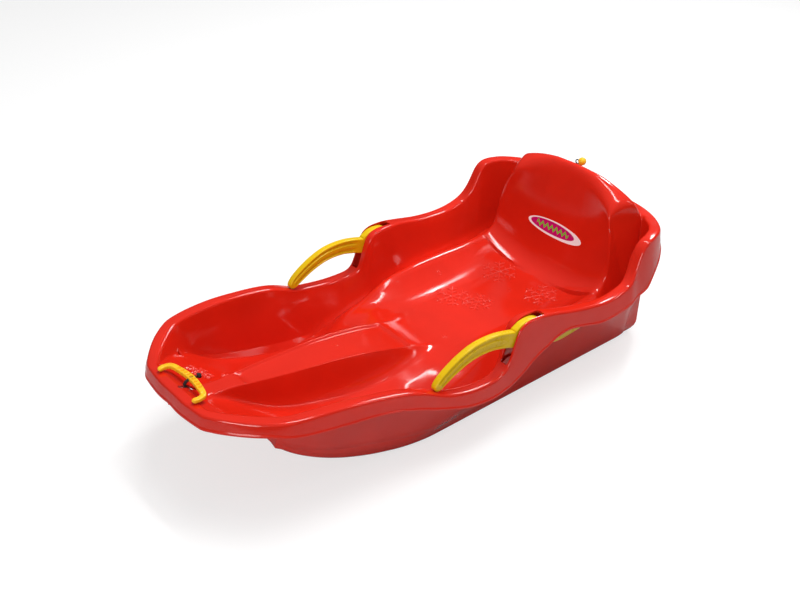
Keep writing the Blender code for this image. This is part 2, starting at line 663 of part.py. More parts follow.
def hull_row(station, rear=False):
    """Outer surface of the hull's bottom across one half."""
    half = along(HULL_X, station) - HULL_CORNER
    start, full = CHANNEL_START
    channel = CHANNEL_DEPTH * ease((station - start) / (full - start))
    row = []
    for k, x in enumerate(HULL_COLUMNS + (HULL_LAST_COLUMN * half, half)):
        bow = HULL_REAR_BOW * (1 - (x / half) ** 4) if rear else 0.0
        rise = channel if k < CHANNEL_COLUMNS else 0.0
        row.append(place(x, station + bow, hull_height(station) + rise))
    return row


def hull_section(bottom, out, corner, wall):
    """From the bottom's edge round its corner and up the given points of the wall."""
    up = Vector((0, 0, corner))
    knee = bottom + out * (0.68 * corner) + 0.32 * up
    return [knee, bottom + out * corner + up] + wall


def hull_side_section(station, bottom, out, corner):
    """The hull's side from its bottom's edge up."""
    lap = along(HULL_LAP, station)
    shares = (0.0, min(0.1, 0.4 * lap), mix(min(0.1, 0.4 * lap), lap, 0.5), lap)
    wall = [lapped_wall(station, share) for share in shares]
    if lap <= 0:
        wall = [point + Vector((0, 0, k * SEAT_GAP)) for k, point in enumerate(wall)]
    corner = min(corner, 0.4 * (wall[0].z - bottom.z))
    return hull_section(bottom, out, corner, wall)


def hull_rear_section(bottom, rim, inward, corner):
    """The hull's rear wall, up to the underside of the rim."""
    start = bottom - inward * corner + Vector((0, 0, corner))
    top = rim + inward * HULL_UNDER_RIM
    top.z = rim.z - TUB_WALL - HULL_TOP_GAP
    return hull_section(bottom, -inward, corner, [start.lerp(top, share) for share in WALL_SHARES])


def build_hull_shell(parts, finish):
    stations = hull_stations()
    rows = [hull_row(station, rear=station == stations[-1]) for station in stations]
    sideways, ahead, behind = Vector((1, 0, 0)), Vector((0, -1, 0)), Vector((0, 1, 0))
    last = len(rows[0]) - 1
    sections = []
    for c, point in enumerate(rows[0][:-1]):
        top_z = floor_underside(max(point.x, CHANNEL_CLEAR_X), HULL_FRONT)
        tops = [mix(point.z, top_z, share) for share in FRONT_WALL_SHARES]
        reach = [HULL_FRONT_FLARE * share for share in FRONT_FLARE_SHARES]
        sections.append(((0, c), [Vector((point.x, point.y - far, z)) for far, z in zip(reach, tops)]))
    for r, station in enumerate(stations):
        out, corner = sideways, HULL_CORNER
        if r == 0:
            out = (sideways + ahead).normalized()
        if r == len(stations) - 1:
            out, corner = (sideways + behind).normalized(), HULL_REAR_CORNER
        sections.append(((r, last), hull_side_section(station, rows[r][last], out, corner)))
    for c in range(last - 1, -1, -1):
        share = rows[-1][c].x / rows[-1][last].x
        along_rim = rim_rear(share + 0.01) - rim_rear(share - 0.01)
        inward = Vector((along_rim.y, -along_rim.x, 0.0)).normalized()
        sections.append(
            ((len(rows) - 1, c), hull_rear_section(rows[-1][c], rim_rear(share), inward, HULL_REAR_CORNER))
        )
    for _, section in (sections[0], sections[-1]):
        for point in section:
            point.x = 0.0
    bm = bmesh.new()
    verts = [[bm.verts.new(point) for point in row] for row in rows]
    for row, following in zip(verts, verts[1:]):
        for c in range(len(row) - 1):
            bm.faces.new((row[c + 1], row[c], following[c], following[c + 1]))
    rings = [[verts[r][c] for (r, c), _ in sections]]
    for level in range(len(sections[0][1])):
        rings.append([bm.verts.new(section[level]) for _, section in sections])
    for ring, outer in zip(rings, rings[1:]):
        for k in range(len(ring) - 1):
            bm.faces.new((ring[k], ring[k + 1], outer[k + 1], outer[k]))
    return sheet("hull_shell", bm, HULL_WALL, parts, finish)


def lever_ring(point, tangent, half_height, width, groove):
    """Section of the lever across its middle line: a rounded bar with two grooves along each side."""
    half = width / 2
    across = Vector((1, 0, 0))
    up = across.cross(tangent).normalized()
    chamfer = min(LEVER_CHAMFER, CHAMFER_SHARE * half_height)
    deep = half - groove
    edges = [share * half_height for share in GROOVE_EDGES]
    side = [(half, half_height - chamfer)] + list(zip((half, deep, deep, half), edges[::-1]))
    flank = [(x, -z) for x, z in side] + side[::-1] + [(half - chamfer, half_height)]
    profile = flank + [(-x, z) for x, z in reversed(flank)]
    profile = [(half - chamfer, -half_height)] + profile + [(chamfer - half, -half_height)]
    return [point + across * x + up * z for x, z in profile]


def build_lever(side, parts, cutters, finish):
    lean = [LEVER_LEAN * max(0.0, PIVOT_STATION - station) for station, _, _, _ in LEVER_LINE]
    line = [
        place(side * (LEVER_X - inwards), station, z)
        for inwards, (station, z, _, _) in zip(lean, LEVER_LINE)
    ]
    rings = []
    for k, (_, _, half_height, width) in enumerate(LEVER_LINE):
        tangent = (line[min(k + 1, len(line) - 1)] - line[max(k - 1, 0)]).normalized()
        grooved = width == GRIP_WIDTH and 2 <= k
        rings.append(lever_ring(line[k], tangent, half_height, width, GROOVE_DEPTH if grooved else 0.0))
    pivot = place(side * LEVER_X, PIVOT_STATION, PIVOT_Z)
    lever = add_object(side_name("brake_lever", side), loft(rings), parts, finish, pivot)
    bm = bmesh.new()
    reach = Vector((ARM_WIDTH, 0, 0))
    rod(bm, pivot - reach, pivot + reach, PIN_RADIUS + PIN_CLEARANCE, 16)
    cut(lever, as_cutter(add_object(side_name("lever_bore", side), bm, cutters)))
    return lever


def build_pin(side, parts, finish, inner_wall, outer_wall):
    bm = bmesh.new()
    ends = [place(side * x, PIVOT_STATION, PIVOT_Z) for x in (inner_wall + SEAT_GAP, outer_wall - SEAT_GAP)]
    rod(bm, *ends, PIN_RADIUS, 16)
    return add_object(side_name("brake_pin", side), bm, parts, finish, sum(ends, Vector()) / 2)


def build_handle(parts, cutters, finish):
    """The bow of the tow handle, flat on the front deck with its ends forward."""
    half = [place(x, station, HANDLE_Z) for x, station in HANDLE_LINE]
    points = half + [Vector((-p.x, p.y, p.z)) for p in half[-2::-1]]
    line = rounded(points, HANDLE_STEP)
    rings = []
    for k, point in enumerate(line):
        tangent = (line[min(k + 1, len(line) - 1)] - line[max(k - 1, 0)]).normalized()
        across = tangent.cross(Vector((0, 0, 1)))
        near_end = min(k, len(line) - 1 - k)
        size = HANDLE_END_SIZES[near_end] if near_end < len(HANDLE_END_SIZES) else 1.0
        rings.append([
            point + across * (math.cos(turn) * size * HANDLE_WIDTH / 2)
            + Vector((0, 0, math.sin(turn) * size * HANDLE_HEIGHT / 2))
            for turn in (math.tau * (j + 0.5) / HANDLE_SIDES for j in range(HANDLE_SIDES))
        ])
    handle = add_object("pull_handle", loft(rings), parts, finish)
    bm = bmesh.new()
    station, z = HANDLE_LINE[-1][1], LEAD_LINE[0][1]
    rod(bm, place(0, station - HANDLE_WIDTH, z), place(0, station + HANDLE_WIDTH, z), CORD_HOLE, 12)
    cut(handle, as_cutter(add_object("handle_bore", bm, cutters)))
    return handle


def build_cord(name, points, step, parts, finish):
    points = rounded(points, step)
    curve = bpy.data.curves.new(name, "CURVE")
    curve.dimensions = "3D"
    curve.bevel_depth = CORD_RADIUS
    curve.bevel_resolution = 2
    curve.use_fill_caps = True
    spline = curve.splines.new("POLY")
    spline.points.add(len(points) - 1)
    for target, point in zip(spline.points, points):
        target.co = (*point, 1.0)
    curve.materials.append(finish)
    cord = bpy.data.objects.new(name, curve)
    parts.objects.link(cord)
    return cord


def build_bead(name, centre, radius, squash, parts, finish):
    """A ball, flattened along Y for the knot."""
    bm = bmesh.new()
    bmesh.ops.create_uvsphere(bm, u_segments=16, v_segments=10, radius=radius)
    bmesh.ops.scale(bm, verts=bm.verts, vec=(1, squash, 1))
    bmesh.ops.translate(bm, verts=bm.verts, vec=centre)
    return add_object(name, bm, parts, finish, centre)


def main():
    for obj in list(bpy.data.objects):
        bpy.data.objects.remove(obj)
    parts = new_collection("bobsled")
    cutters = new_collection("cutters")
    red = material("red_plastic", TUB_RED, 0.22)
    yellow = material("brake_yellow", BRAKE_YELLOW, 0.35)
    handle_yellow = material("handle_yellow", HANDLE_YELLOW, 0.35)
    steel = material("steel", STEEL_GREY, 0.3, 1.0)
    black = material("black_cord", CORD_BLACK, 0.8)

    shell = build_seat_shell(parts, red)
    bosses, inner_wall, outer_wall = lever_bosses(cutters)
    cut(shell, bosses, "UNION")
    cut(shell, brake_bores(cutters, inner_wall, outer_wall))
    cut(shell, brake_slots(cutters))
    for cutter in keyhole(cutters):
        cut(shell, cutter)
    cut(shell, crest_hole(cutters))
    build_hull_shell(parts, red)

    for side in (1, -1):
        build_lever(side, parts, cutters, yellow)
        build_pin(side, parts, steel, inner_wall, outer_wall)

    build_handle(parts, cutters, handle_yellow)
    lead = [place(0, station, z) for station, z in LEAD_LINE]
    build_cord("tow_cord_lead", lead, LEAD_STEP, parts, black)
    perch, out = ball_perch()
    run = [place(0, station, z) for station, z in CORD_LINE] + [perch + out * (BALL_GAP - SEAT_GAP)]
    build_cord("tow_cord", run, CORD_STEP, parts, black)
    knot = lead[0] + Vector((0, SEAT_GAP + KNOT_RADIUS * KNOT_SQUASH, 0))
    build_bead("cord_knot", knot, KNOT_RADIUS, KNOT_SQUASH, parts, black)
    build_bead("cord_ball", perch + out * (BALL_GAP + BALL_RADIUS), BALL_RADIUS, 1.0, parts, handle_yellow)


main()
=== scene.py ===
import math

import bmesh
import bpy
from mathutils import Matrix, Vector
from mathutils.bvhtree import BVHTree


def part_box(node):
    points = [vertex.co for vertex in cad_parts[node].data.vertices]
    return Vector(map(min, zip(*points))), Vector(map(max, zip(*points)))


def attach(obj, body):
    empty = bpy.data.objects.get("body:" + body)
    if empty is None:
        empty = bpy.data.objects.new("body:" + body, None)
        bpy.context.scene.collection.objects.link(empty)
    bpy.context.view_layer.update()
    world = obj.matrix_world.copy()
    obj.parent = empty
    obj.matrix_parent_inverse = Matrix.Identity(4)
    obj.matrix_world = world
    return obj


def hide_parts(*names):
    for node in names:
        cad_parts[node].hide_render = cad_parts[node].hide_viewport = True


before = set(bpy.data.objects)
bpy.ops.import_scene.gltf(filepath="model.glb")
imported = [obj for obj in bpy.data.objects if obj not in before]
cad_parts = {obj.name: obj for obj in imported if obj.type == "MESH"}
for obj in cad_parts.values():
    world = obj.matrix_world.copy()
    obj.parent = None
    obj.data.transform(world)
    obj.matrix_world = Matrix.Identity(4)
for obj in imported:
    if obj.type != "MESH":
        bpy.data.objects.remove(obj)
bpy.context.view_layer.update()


def metres(*rows):
    """A table in metres from rows of millimetres."""
    return tuple(tuple(value / 1000 for value in row) for row in rows)


# Tub, in metres: stations run along the sled, negative towards the front
MIDDLE = 0.0175
TUB_WALL = 0.003
SKIRT_FLARE = 0.004
RIM_X = metres(
    (-362, 75.3), (-342, 98.5), (-316, 128), (-302, 143), (-288, 152.5), (-270, 159), (-225, 166),
    (-146, 174), (-72, 183), (-28, 188), (5, 188), (40, 184.5), (58, 182), (108, 184), (185, 188),
    (250, 193), (287, 193), (311, 187), (331, 186), (345, 183.5), (358, 175), (372, 165),
)
RIM_AHEAD = metres(
    (-362, 12), (-342, 14.5), (-316, 17), (-302, 16), (-288, 13), (-270, 4), (-250, 0), (345, 0),
    (358, -8), (372, -7),
)
RIM_Z = metres(
    (-362, 160), (-270, 159), (-225, 156), (-187, 150), (-146, 142), (-115, 133), (-93, 123), (-72, 111),
    (-54, 106), (-28, 100), (10, 96), (30, 97), (45, 102), (53, 116), (61, 146), (69, 159), (88, 165),
    (108, 164), (147, 156), (185, 147), (240, 140), (264, 142), (287, 149), (299, 161), (308, 178),
    (318, 197), (331, 206), (347, 208), (372, 207),
)
RIM_WIDTH = metres((20, 18), (52, 23), (70, 27), (105, 26), (145, 19), (190, 18))
SKIRT_Z = metres(
    (-362, 140), (-310, 142), (-270, 135), (-227, 130), (-183, 125), (-146, 117), (-118, 108), (-86, 95),
    (-54, 84), (-21, 75), (16, 71), (48, 72), (72, 82), (94, 98), (116, 110), (140, 121), (160, 123.5),
    (192, 117), (228, 110), (261, 112), (295, 118), (330, 125), (345, 142), (358, 160), (372, 172),
)
FLOOR_X = metres(
    (-362, 60), (-342, 83), (-316, 108), (-302, 119), (-288, 127.5), (-250, 136), (-200, 140),
    (-140, 144), (-70, 148), (0, 150), (50, 145), (100, 145), (160, 150), (300, 153), (345, 152),
    (372, 146),
)
FLOOR_Z = metres(
    (-362, 157), (-342, 146), (-316, 128.5), (-302, 119), (-280, 102.5), (-238, 73), (-200, 56),
    (-170, 46), (-130, 34), (-95, 27), (-70, 27), (-25, 38), (34, 57), (65, 71), (95, 80), (130, 84),
    (220, 83), (290, 83), (320, 88), (372, 94),
)
HUMP_X = metres(
    (-362, 26), (-342, 14), (-310, 13), (-280, 16), (-240, 22), (-200, 26), (-140, 31), (-70, 36),
    (14, 41), (60, 45), (285, 46),
)
HUMP_Z = metres(
    (-362, 158), (-352, 153), (-342, 144), (-325, 138), (-280, 133), (-240, 129), (-200, 124.5),
    (-140, 118.5), (-85, 109), (-40, 98), (0, 86), (22, 78), (60, 71.5), (150, 69), (200, 69.5),
    (285, 77.5),
)
FLANK_FOOT_X = metres(
    (-362, 34), (-342, 20), (-310, 20), (-280, 25), (-240, 34), (-200, 42), (-140, 50), (-70, 57),
    (-10, 59), (60, 62), (285, 64),
)
FLANK_FOOT_Z = metres(
    (-362, 158), (-352, 153), (-342, 144), (-325, 132), (-310, 123), (-280, 104.5), (-240, 85),
    (-200, 75.5), (-140, 66.5), (-70, 65), (-30, 69.5), (14, 75.5), (60, 71.5), (150, 69), (200, 70),
    (285, 78),
)
BOLSTER_RISE = metres(
    (-60, 0), (-35, 10), (-10, 18), (20, 20.5), (49, 26), (80, 27.2), (110, 24.5), (140, 23.7),
    (200, 22.5), (240, 20.5), (271, 21.5), (285, 23.5),
)
BOLSTER_SHARES = (0.1, 0.42, 1.0, 0.45)
FLANK_SHARES = (0.45, 0.72)
PANEL_SINK = 0.0042
PANEL_EDGE = 0.004
PANEL_STATIONS = (-0.278, -0.01)
PANEL_SLOPES = (0.004, 0.006)
SEAT_END = 0.285
BACK_END = 0.372
# Backrest rows: station, the centre line's station and height, the wing's half width, station, height
BACK_ROWS = metres(
    (285, 285, 77, 126.3, 285, 105.5), (296, 299, 84, 126.2, 296.5, 109.5),
    (306, 310, 97, 125.5, 306.5, 118), (316, 318, 119, 124.5, 313.5, 134),
    (326, 326, 149, 122.5, 317, 160), (336, 336, 187, 118, 320, 184), (345, 346, 220, 111.5, 323.5, 204),
    (352, 353.5, 243.5, 104.5, 329, 221), (358, 359.5, 254.5, 110, 348, 232.5),
    (364, 366.5, 256, 118, 367, 233.5), (368, 376.5, 247, 121.5, 375, 223.5),
    (372, 399, 206, 124, 384, 206),
)
BACK_Y, BACK_Z, WING_X, WING_Y, WING_Z = [[(row[0], row[k]) for row in BACK_ROWS] for k in range(1, 6)]
BACK_ARC = 2.4
TRENCH_X = 0.133
TRENCH_OPENS = 4
TRENCH_END_Y = 0.373
FLOOR_END_Y = 0.365
FLOOR_FRACTIONS = (0.24, 0.47, 0.7, 0.86)

# Spacing of the rows along the tub, as (first station, last station, spacing)
ROW_SPACING = metres(
    (-362, -300, 4), (-300, -70, 6), (-70, 30, 5), (30, 115, 2), (115, 285, 6), (285, 372, 1.5),
)
CORNER_STEPS = 4
CORNER_LIMIT = 0.49  # the share of a side that a corner's rounding may take
ROW_SLACK = 1e-6
PROFILE_REACH = 0.006  # how far along the sled a profile is evened out, and less at the back
BACK_PROFILE_REACH = 0.0035
PROFILE_WEIGHTS = (1, 2, 3, 2, 1)
RIM_ROUNDS = 6
FRONT_ROUNDS = 24
ROUND_FRONT = -0.285  # ahead of this station the outline is rounded further
FRONT_BLEND = 0.03
# Ends of the rim: the middle's station, the corners' station, how squarely the end runs into them
FRONT_RIM = (-0.38, RIM_X[0][0], 2.0)
REAR_RIM = (0.415, BACK_END, 4.0)
RIM_INNER_SHARE = 0.25
WALL_BENDS = ((0.22, 0.1), (0.45, 0.36))  # shares of its run and of its height
# How far the rounding of each corner runs, across the floor, across the backrest and up the wall
FLOOR_REACHES = (0.0014, 0.0022, 0.02, 0.003, 0.03, 0.03, 0.03, 0.02)
BACK_REACHES = (0.03, 0.03, 0.03, 0.03, 0.03, 0.03, 0.01, 0.012)
CREASE_CORNER = 4  # the corner that runs round the hump at a little distance
CREASE_REACH = 0.002
CREASE_FADES_AT = 0.03
CREASE_FADE = 0.04
WALL_REACHES = (0.01, 0.02, 0.0045, 0.004, 0.0012, 0.0008)
LIP_WIDTH = 0.0013
LIP_HEIGHT = 0.0038

# Hull: half width of its bottom and share of the tub wall's height that it laps, by station; its
# columns from the middle out, and each one's share of the channel's depth
HULL_WALL = 0.0025
HULL_ARC_RADIUS = 0.385
HULL_ARC_START = -0.04
HULL_X = metres(
    (-300, 127), (-284, 131), (-260, 132), (-200, 132), (-140, 134), (-100, 137), (-50, 139), (340, 139),
    (355, 138), (366, 134),
)
HULL_LAP = (
    (-0.3, 0.42), (-0.275, 0.46), (-0.248, 0.54), (-0.21, 0.6), (-0.12, 0.66), (-0.06, 0.7),
    (0.015, 0.68), (0.045, 0.4), (0.075, 0.22), (0.1, 0.14), (0.16, 0.26), (0.29, 0.26), (0.33, 0.95),
)
HULL_SPACING = metres((-300, -40, 5.2), (-40, 60, 10), (60, 240, 10), (240, 340, 5), (340, 366, 4))
HULL_COLUMNS = (0.0, 0.012, 0.02, 0.042, 0.046, 0.052, 0.07, 0.085)
CHANNEL_SHARES = (1.0, 1.0, 1.0, 0.92, 0.4, 0.0, 0.0, 0.0, 0.0, 0.0)
CHANNEL_DEPTH = 0.005
CHANNEL_START = (-0.22, -0.06)
HULL_LAST_COLUMN = 0.89
HULL_LAP_GAP = 0.0006
HULL_CORNER = 0.01
HULL_CORNER_SHARE = 0.4
HULL_CORNER_HEIGHT = 0.004
HULL_REAR_CORNER = 0.024
HULL_REAR_BOW = 0.009
HULL_BOW_POWER = 4
RIM_STEP = 0.01
HULL_UNDER_RIM = 0.009
HULL_TOP_GAP = 0.004
HULL_END_SHARES = (0.1, 0.4, 0.7, 1.0)
HULL_SIDE_SHARES = (0.25, 0.5, 0.75, 1.0)
HULL_REACHES = (0.02, 0.02, 0.02)
HULL_FRONT_TOP = 0.113  # top edge of the hull's front upstand, hidden under the tub
HULL_FRONT_FLARE = 0.002
HULL_FLARE_RATE = 1.6
KNEE_ANGLES = (0.22, 0.45, 0.68, 0.85)

# Brake levers and their slots
LEVER_X = 0.173
PIVOT_STATION = 0.085
SLOT_WIDTH = 0.0134
SLOT_FRONT = (0.046, 0.104)  # station and height of the slot's lower front end
SLOT_REAR = (0.1165, 0.185)
SLOT_ROUND = 0.003
BLOCK_CORNER_STEPS = 6
LEVER_LEAN = 0.018  # towards the middle, ahead of the pivot
LEVER_ROUND = 0.002
LEVER_ROUND_SHARES = (0.85, 0.45)
LEVER_STEP = 0.0016
LEVER_SIDE_POINTS = 33
LEVER_ROUND_POINTS = 5
GROOVE_BAND = (0.2, 0.78)  # where the grooves lie on the side, as shares of the half height
GROOVE_SLOPES = (0.13, 0.13)
GROOVE_DEPTH = 0.002
GROOVE_RUN = (-0.076, 0.05)
GROOVE_FADES = (0.008, 0.014)
BOSS_RADIUS = 0.007
BOSS_CLEARANCE = 0.0004
# Middle line as (station, height, half the section's height, its width)
LEVER_LINE = metres(
    (-80.8, 118, 2.6, 8.5), (-78.8, 119.3, 5, 9.8), (-74.5, 122.2, 7, 10.5), (-65.3, 129, 8.6, 10.5),
    (-50.7, 137.4, 9.4, 10.5), (-34.5, 144.7, 10.1, 10.5), (-14.8, 150.5, 10.9, 10.5),
    (5, 152.2, 11.3, 10.5), (24.8, 150.8, 11.6, 10.5), (42, 146.9, 12.1, 10.5), (53, 143.7, 12.2, 11),
    (62, 141.2, 12.8, 11.5), (71, 142.8, 16, 11.5), (82, 144.3, 18.7, 11.5), (97, 142.5, 19, 11.5),
    (111, 132.5, 15, 11.5), (127, 120.5, 12.5, 11.5), (150, 112.5, 11.2, 11.5), (178, 111.2, 10.2, 10),
    (205, 110.2, 8, 8), (230, 107.5, 7.5, 8), (252, 106, 7.2, 8), (264, 103, 6.8, 8), (271, 96.5, 5.5, 8),
    (273.5, 90, 3, 8),
)
ARM_WIDTH = max(row[3] for row in LEVER_LINE)  # at the pivot, where the lever is widest

# Tow handle, cord and ball
HANDLE_Z = 0.1645
HANDLE_HEIGHT = 0.007
HANDLE_WIDTH = 0.0092
LEG_TAPER = 0.76
HANDLE_LINE = metres((43, -372), (44.5, -362), (40, -353.5), (20, -349), (0, -347.5))
HANDLE_STEP = 0.0006
HANDLE_SIDES = 48
HANDLE_SQUARE = 0.5  # below 1 the round section turns towards a square one
HANDLE_END = 0.0045  # how far from its end a leg starts to round off
HANDLE_END_SIZE = 0.02
POCKET_PITCH = 0.0066
POCKET_RUN = 0.0297
POCKET_DEPTH = 0.0026
POCKET_LENGTH = (0.36, 0.12)  # half length and slope, as shares of the pitch
POCKET_WIDTH = 0.62
LAST_POCKET_SLOPE = 0.001
LEG_GROOVE = (0.037, 0.054)  # from the middle, along the bow
LEG_GROOVE_FADES = (0.003, 0.003)
LEG_GROOVE_WIDTH = 0.34
DENT_SLOPE = 0.2
CORD_HOLE = 0.0028
KEYHOLE_STATIONS = (-0.368, -0.3485)
KEYHOLE_WIDTH = 0.0056
KEYHOLE_ROUND = 0.45
KEYHOLE_EYE = 0.0066
KEYHOLE_REACH = 0.021
CREST_HOLE_REACH = 0.006
BALL_RADIUS = 0.0065
BALL_GAP = 0.0005
BALL_PERCH = (0.364, 0.368, 0.55)
BALL_SEAM = 0.0001
BALL_STEPS = 32
BALL_HOLE_EDGE = 1.2
# Edges of the ball's drilled hole, as shares of the ball's radius and of the hole's
BALL_FOOT = ((-0.93, 1.0), (-0.95, 1.1))
BALL_MOUTH = ((0.9, 1.15), (0.86, 1.0), (0.0, 1.0))
STOP_KNOT = metres((0, 1.6), (4, 2), (5.2, 2.3), (6, 1.7), (6.2, 0.6))
STOP_KNOT_SIDES = 24
CORD_LOOP = 0.0034
CORD_LOOP_RADIUS = 0.0009
CORD_LOOP_STEPS = 40
CORD_LOOP_AT = Vector((-0.0062, 0.0005, 0.004))
KNOT_SPREAD = 0.0009
KNOT_DEPTH = 0.0016
KNOT_CORD = 0.0014
KNOT_STEPS = 96
LEAST_NORMAL = 0.2

# Relief and print: snow crystals as (x, station, radius, turn), pin marks as (x, station)
FLAKES = (
    (-0.05, 0.2535, 0.031, 0.26), (0.044, 0.2545, 0.029, 0.1), (-0.048, 0.148, 0.03, 0.35),
    (-0.01, 0.168, 0.026, 0.05), (-0.062, -0.304, 0.02, 0.2), (-0.058, -0.262, 0.012, 0.55),
)
FLAKE_WIDTH = 0.003
FLAKE_HEIGHT = 0.0015
FLAKE_ARMS = 6
FLAKE_BRANCHES = ((0.36, 0.26), (0.66, 0.34))
BAR_STEP = 0.0012
BAR_END = 0.03
BAR_BLUNT = 8
BAR_SECTION = ((-0.5, -0.5), (-0.5, 0.1), (-0.3, 0.75), (0.0, 1.0), (0.3, 0.75), (0.5, 0.1), (0.5, -0.5))
PIN_MARKS = metres((-3, 231), (69, 262), (-100, 166), (-8, -113), (30.7, 60.8))
PIN_MARK_SECTION = metres(
    (0.6, -0.6), (4.2, -0.6), (4.2, 0.1), (3.7, 0.4), (3, 0.4), (2.5, 0.2), (0.6, 0.2),
)
PIN_MARK_SIDES = 24
STICKER_AT = (0.0, 0.149)
STICKER_SIZE = (0.058, 0.0128)
STICKER_RISE = 0.00025
STICKER_SIDES = 96
STICKER_RINGS = 16
STICKER_EYE = 0.02
FIELD_SIZE = (0.82, 0.78)
FIELD_SHIFT = (0.09, -0.05)
ZIGZAG_START = 2.0
ZIGZAG_PITCH = 0.085
ZIGZAG_SWING = 6.5
ZIGZAG_HALF = 0.17
ZIGZAG_END = 0.6

TUB_RED = (0.66, 0.017, 0.006, 1.0)
PAINTED_HIGHLIGHT_RED = (0.74, 0.036, 0.022, 1.0)  # a lighter red for the snow crystals: a painted highlight standing in for the light caught on their raised edges
BRAKE_YELLOW = (0.74, 0.48, 0.004, 1.0)
HANDLE_YELLOW = (0.94, 0.52, 0.02, 1.0)
LABEL_WHITE = (0.97, 0.97, 0.97, 1.0)
LABEL_MAGENTA = (0.55, 0.004, 0.16, 1.0)
LABEL_GREEN = (0.17, 0.6, 0.05, 1.0)

UP = Vector((0, 0, 1))
ACROSS = Vector((1, 0, 0))
SHARP_ANGLE = math.radians(35)
OFF_SEAM = 0.00002  # keeps a ray off the edge that the two halves share
RAY_TOP = 0.3
RAY_FRONT = 0.1

# Stops of the colour ramps: shares of a plastic's own colour, the cord's blacks, the pins' greys
CLOUD_STOPS = ((0.3, 0.94), (0.7, 1.05))
BRAID_STOPS = ((0.0, (0.03, 0.03, 0.033, 1)), (0.6, (0.006, 0.006, 0.007, 1)))
STEEL_STOPS = ((0.3, (0.45, 0.45, 0.47, 1)), (0.7, (0.62, 0.62, 0.64, 1)))

# Camera and studio: the world's level low down and overhead; each lamp's place, aim, size, power
# and whether its reflection shows
CAMERA_LENS = 49.27
CAMERA_SENSOR = 36.0
CAMERA_AT = (1.05115, -0.87978, 1.00176)
CAMERA_AIM = (0.0, -0.0175, 0.14495)
FLOOR_HALF = 6.0
FLOORS = (("floor", 0.38, 0.66, True), ("floor_grey", 0.55, 0.0, False))  # tint, glow, seen or not
FLOOR_APART = 0.002
STUDIO_LEVELS = ((0.1, 0.1), (0.95, 0.9))
STUDIO_STRENGTH = 0.4
STUDIO_LAMPS = (
    ("top", (0.25, 0.5, 2.65), (0, 0, 0.1), (1.5, 1.5), 35, False),
    ("strip", (-0.61, 1.59, 1.51), (0, 0, 0.1), (0.24, 0.66), 17, True),
    ("overhead", (-0.15, 0.32, 2.15), (-0.15, 0, 0.1), (1.3, 0.14), 14, True),
    ("edge", (1.3, 1.1, 1.45), (0, 0, 0.1), (0.07, 0.9), 4, True),
    ("front", (1.0, -2.2, 1.1), (0, 0, 0.1), (0.9, 0.9), 22, True),
)


def place(x, station, z):
    return Vector((x, station - MIDDLE, z))


def mix(a, b, t):
    return a + (b - a) * t


def ease(t):
    t = min(1.0, max(0.0, t))
    return t * t * (3 - 2 * t)


def within(value, span, slopes):
    """1 inside a span, easing to 0 over a slope at each end."""
    return ease((value - span[0]) / slopes[0]) * ease((span[1] - value) / slopes[1])


def circle(sides):
    """Evenly spaced angles round a circle."""
    return [math.tau * k / sides for k in range(sides)]


def spoke(angle):
    return Vector((math.cos(angle), math.sin(angle), 0))


def mirrored(point):
    return Vector((-point.x, point.y, point.z))


def tangent_at(line, k):
    return (line[min(k + 1, len(line) - 1)] - line[max(k - 1, 0)]).normalized()


def knots(profile, station):
    """A profile's value at a station, by a cubic through its points that never overshoots them."""
    if station <= profile[0][0]:
        return profile[0][1]
    if station >= profile[-1][0]:
        return profile[-1][1]
    last = len(profile) - 2
    i = next(k for k in range(last + 1) if station <= profile[k + 1][0])

    def rise(k):
        return (profile[k + 1][1] - profile[k][1]) / (profile[k + 1][0] - profile[k][0])

    def slope(k):
        if k == 0:
            return rise(0)
        if k == last + 1:
            return rise(last)
        before, after = rise(k - 1), rise(k)
        return 2 * before * after / (before + after) if before * after > 0 else 0.0

    (s0, v0), (s1, v1) = profile[i], profile[i + 1]
    t = (station - s0) / (s1 - s0)
    bend0 = (1 + 2 * t) * (1 - t) ** 2 * v0 + t * t * (3 - 2 * t) * v1
    return bend0 + (s1 - s0) * (t * (1 - t) ** 2 * slope(i) + t * t * (t - 1) * slope(i + 1))


def along(profile, station):
    """The profile's value, evened out over a few millimetres."""
    reach = BACK_PROFILE_REACH if station > SEAT_END - PROFILE_REACH else PROFILE_REACH
    first, last = profile[0][0], profile[-1][0]
    reach = max(0.0, min(reach, station - first, last - station))
    values = [knots(profile, station + reach * k / 2) for k in range(-2, 3)]
    return sum(w * v for w, v in zip(PROFILE_WEIGHTS, values)) / sum(PROFILE_WEIGHTS)


def rounded_corners(points, reaches):
    """The line with each inner corner rounded, always with the same number of points."""
    line = [points[0]]
    for before, corner, after, reach in zip(points, points[1:], points[2:], reaches):
        back, on = before - corner, after - corner
        back = back.normalized() * min(reach, CORNER_LIMIT * back.length)
        on = on.normalized() * min(reach, CORNER_LIMIT * on.length)
        for k in range(CORNER_STEPS + 1):
            t = k / CORNER_STEPS
            line.append(corner + back * (1 - t) ** 2 + on * t * t)
    return line + [points[-1]]


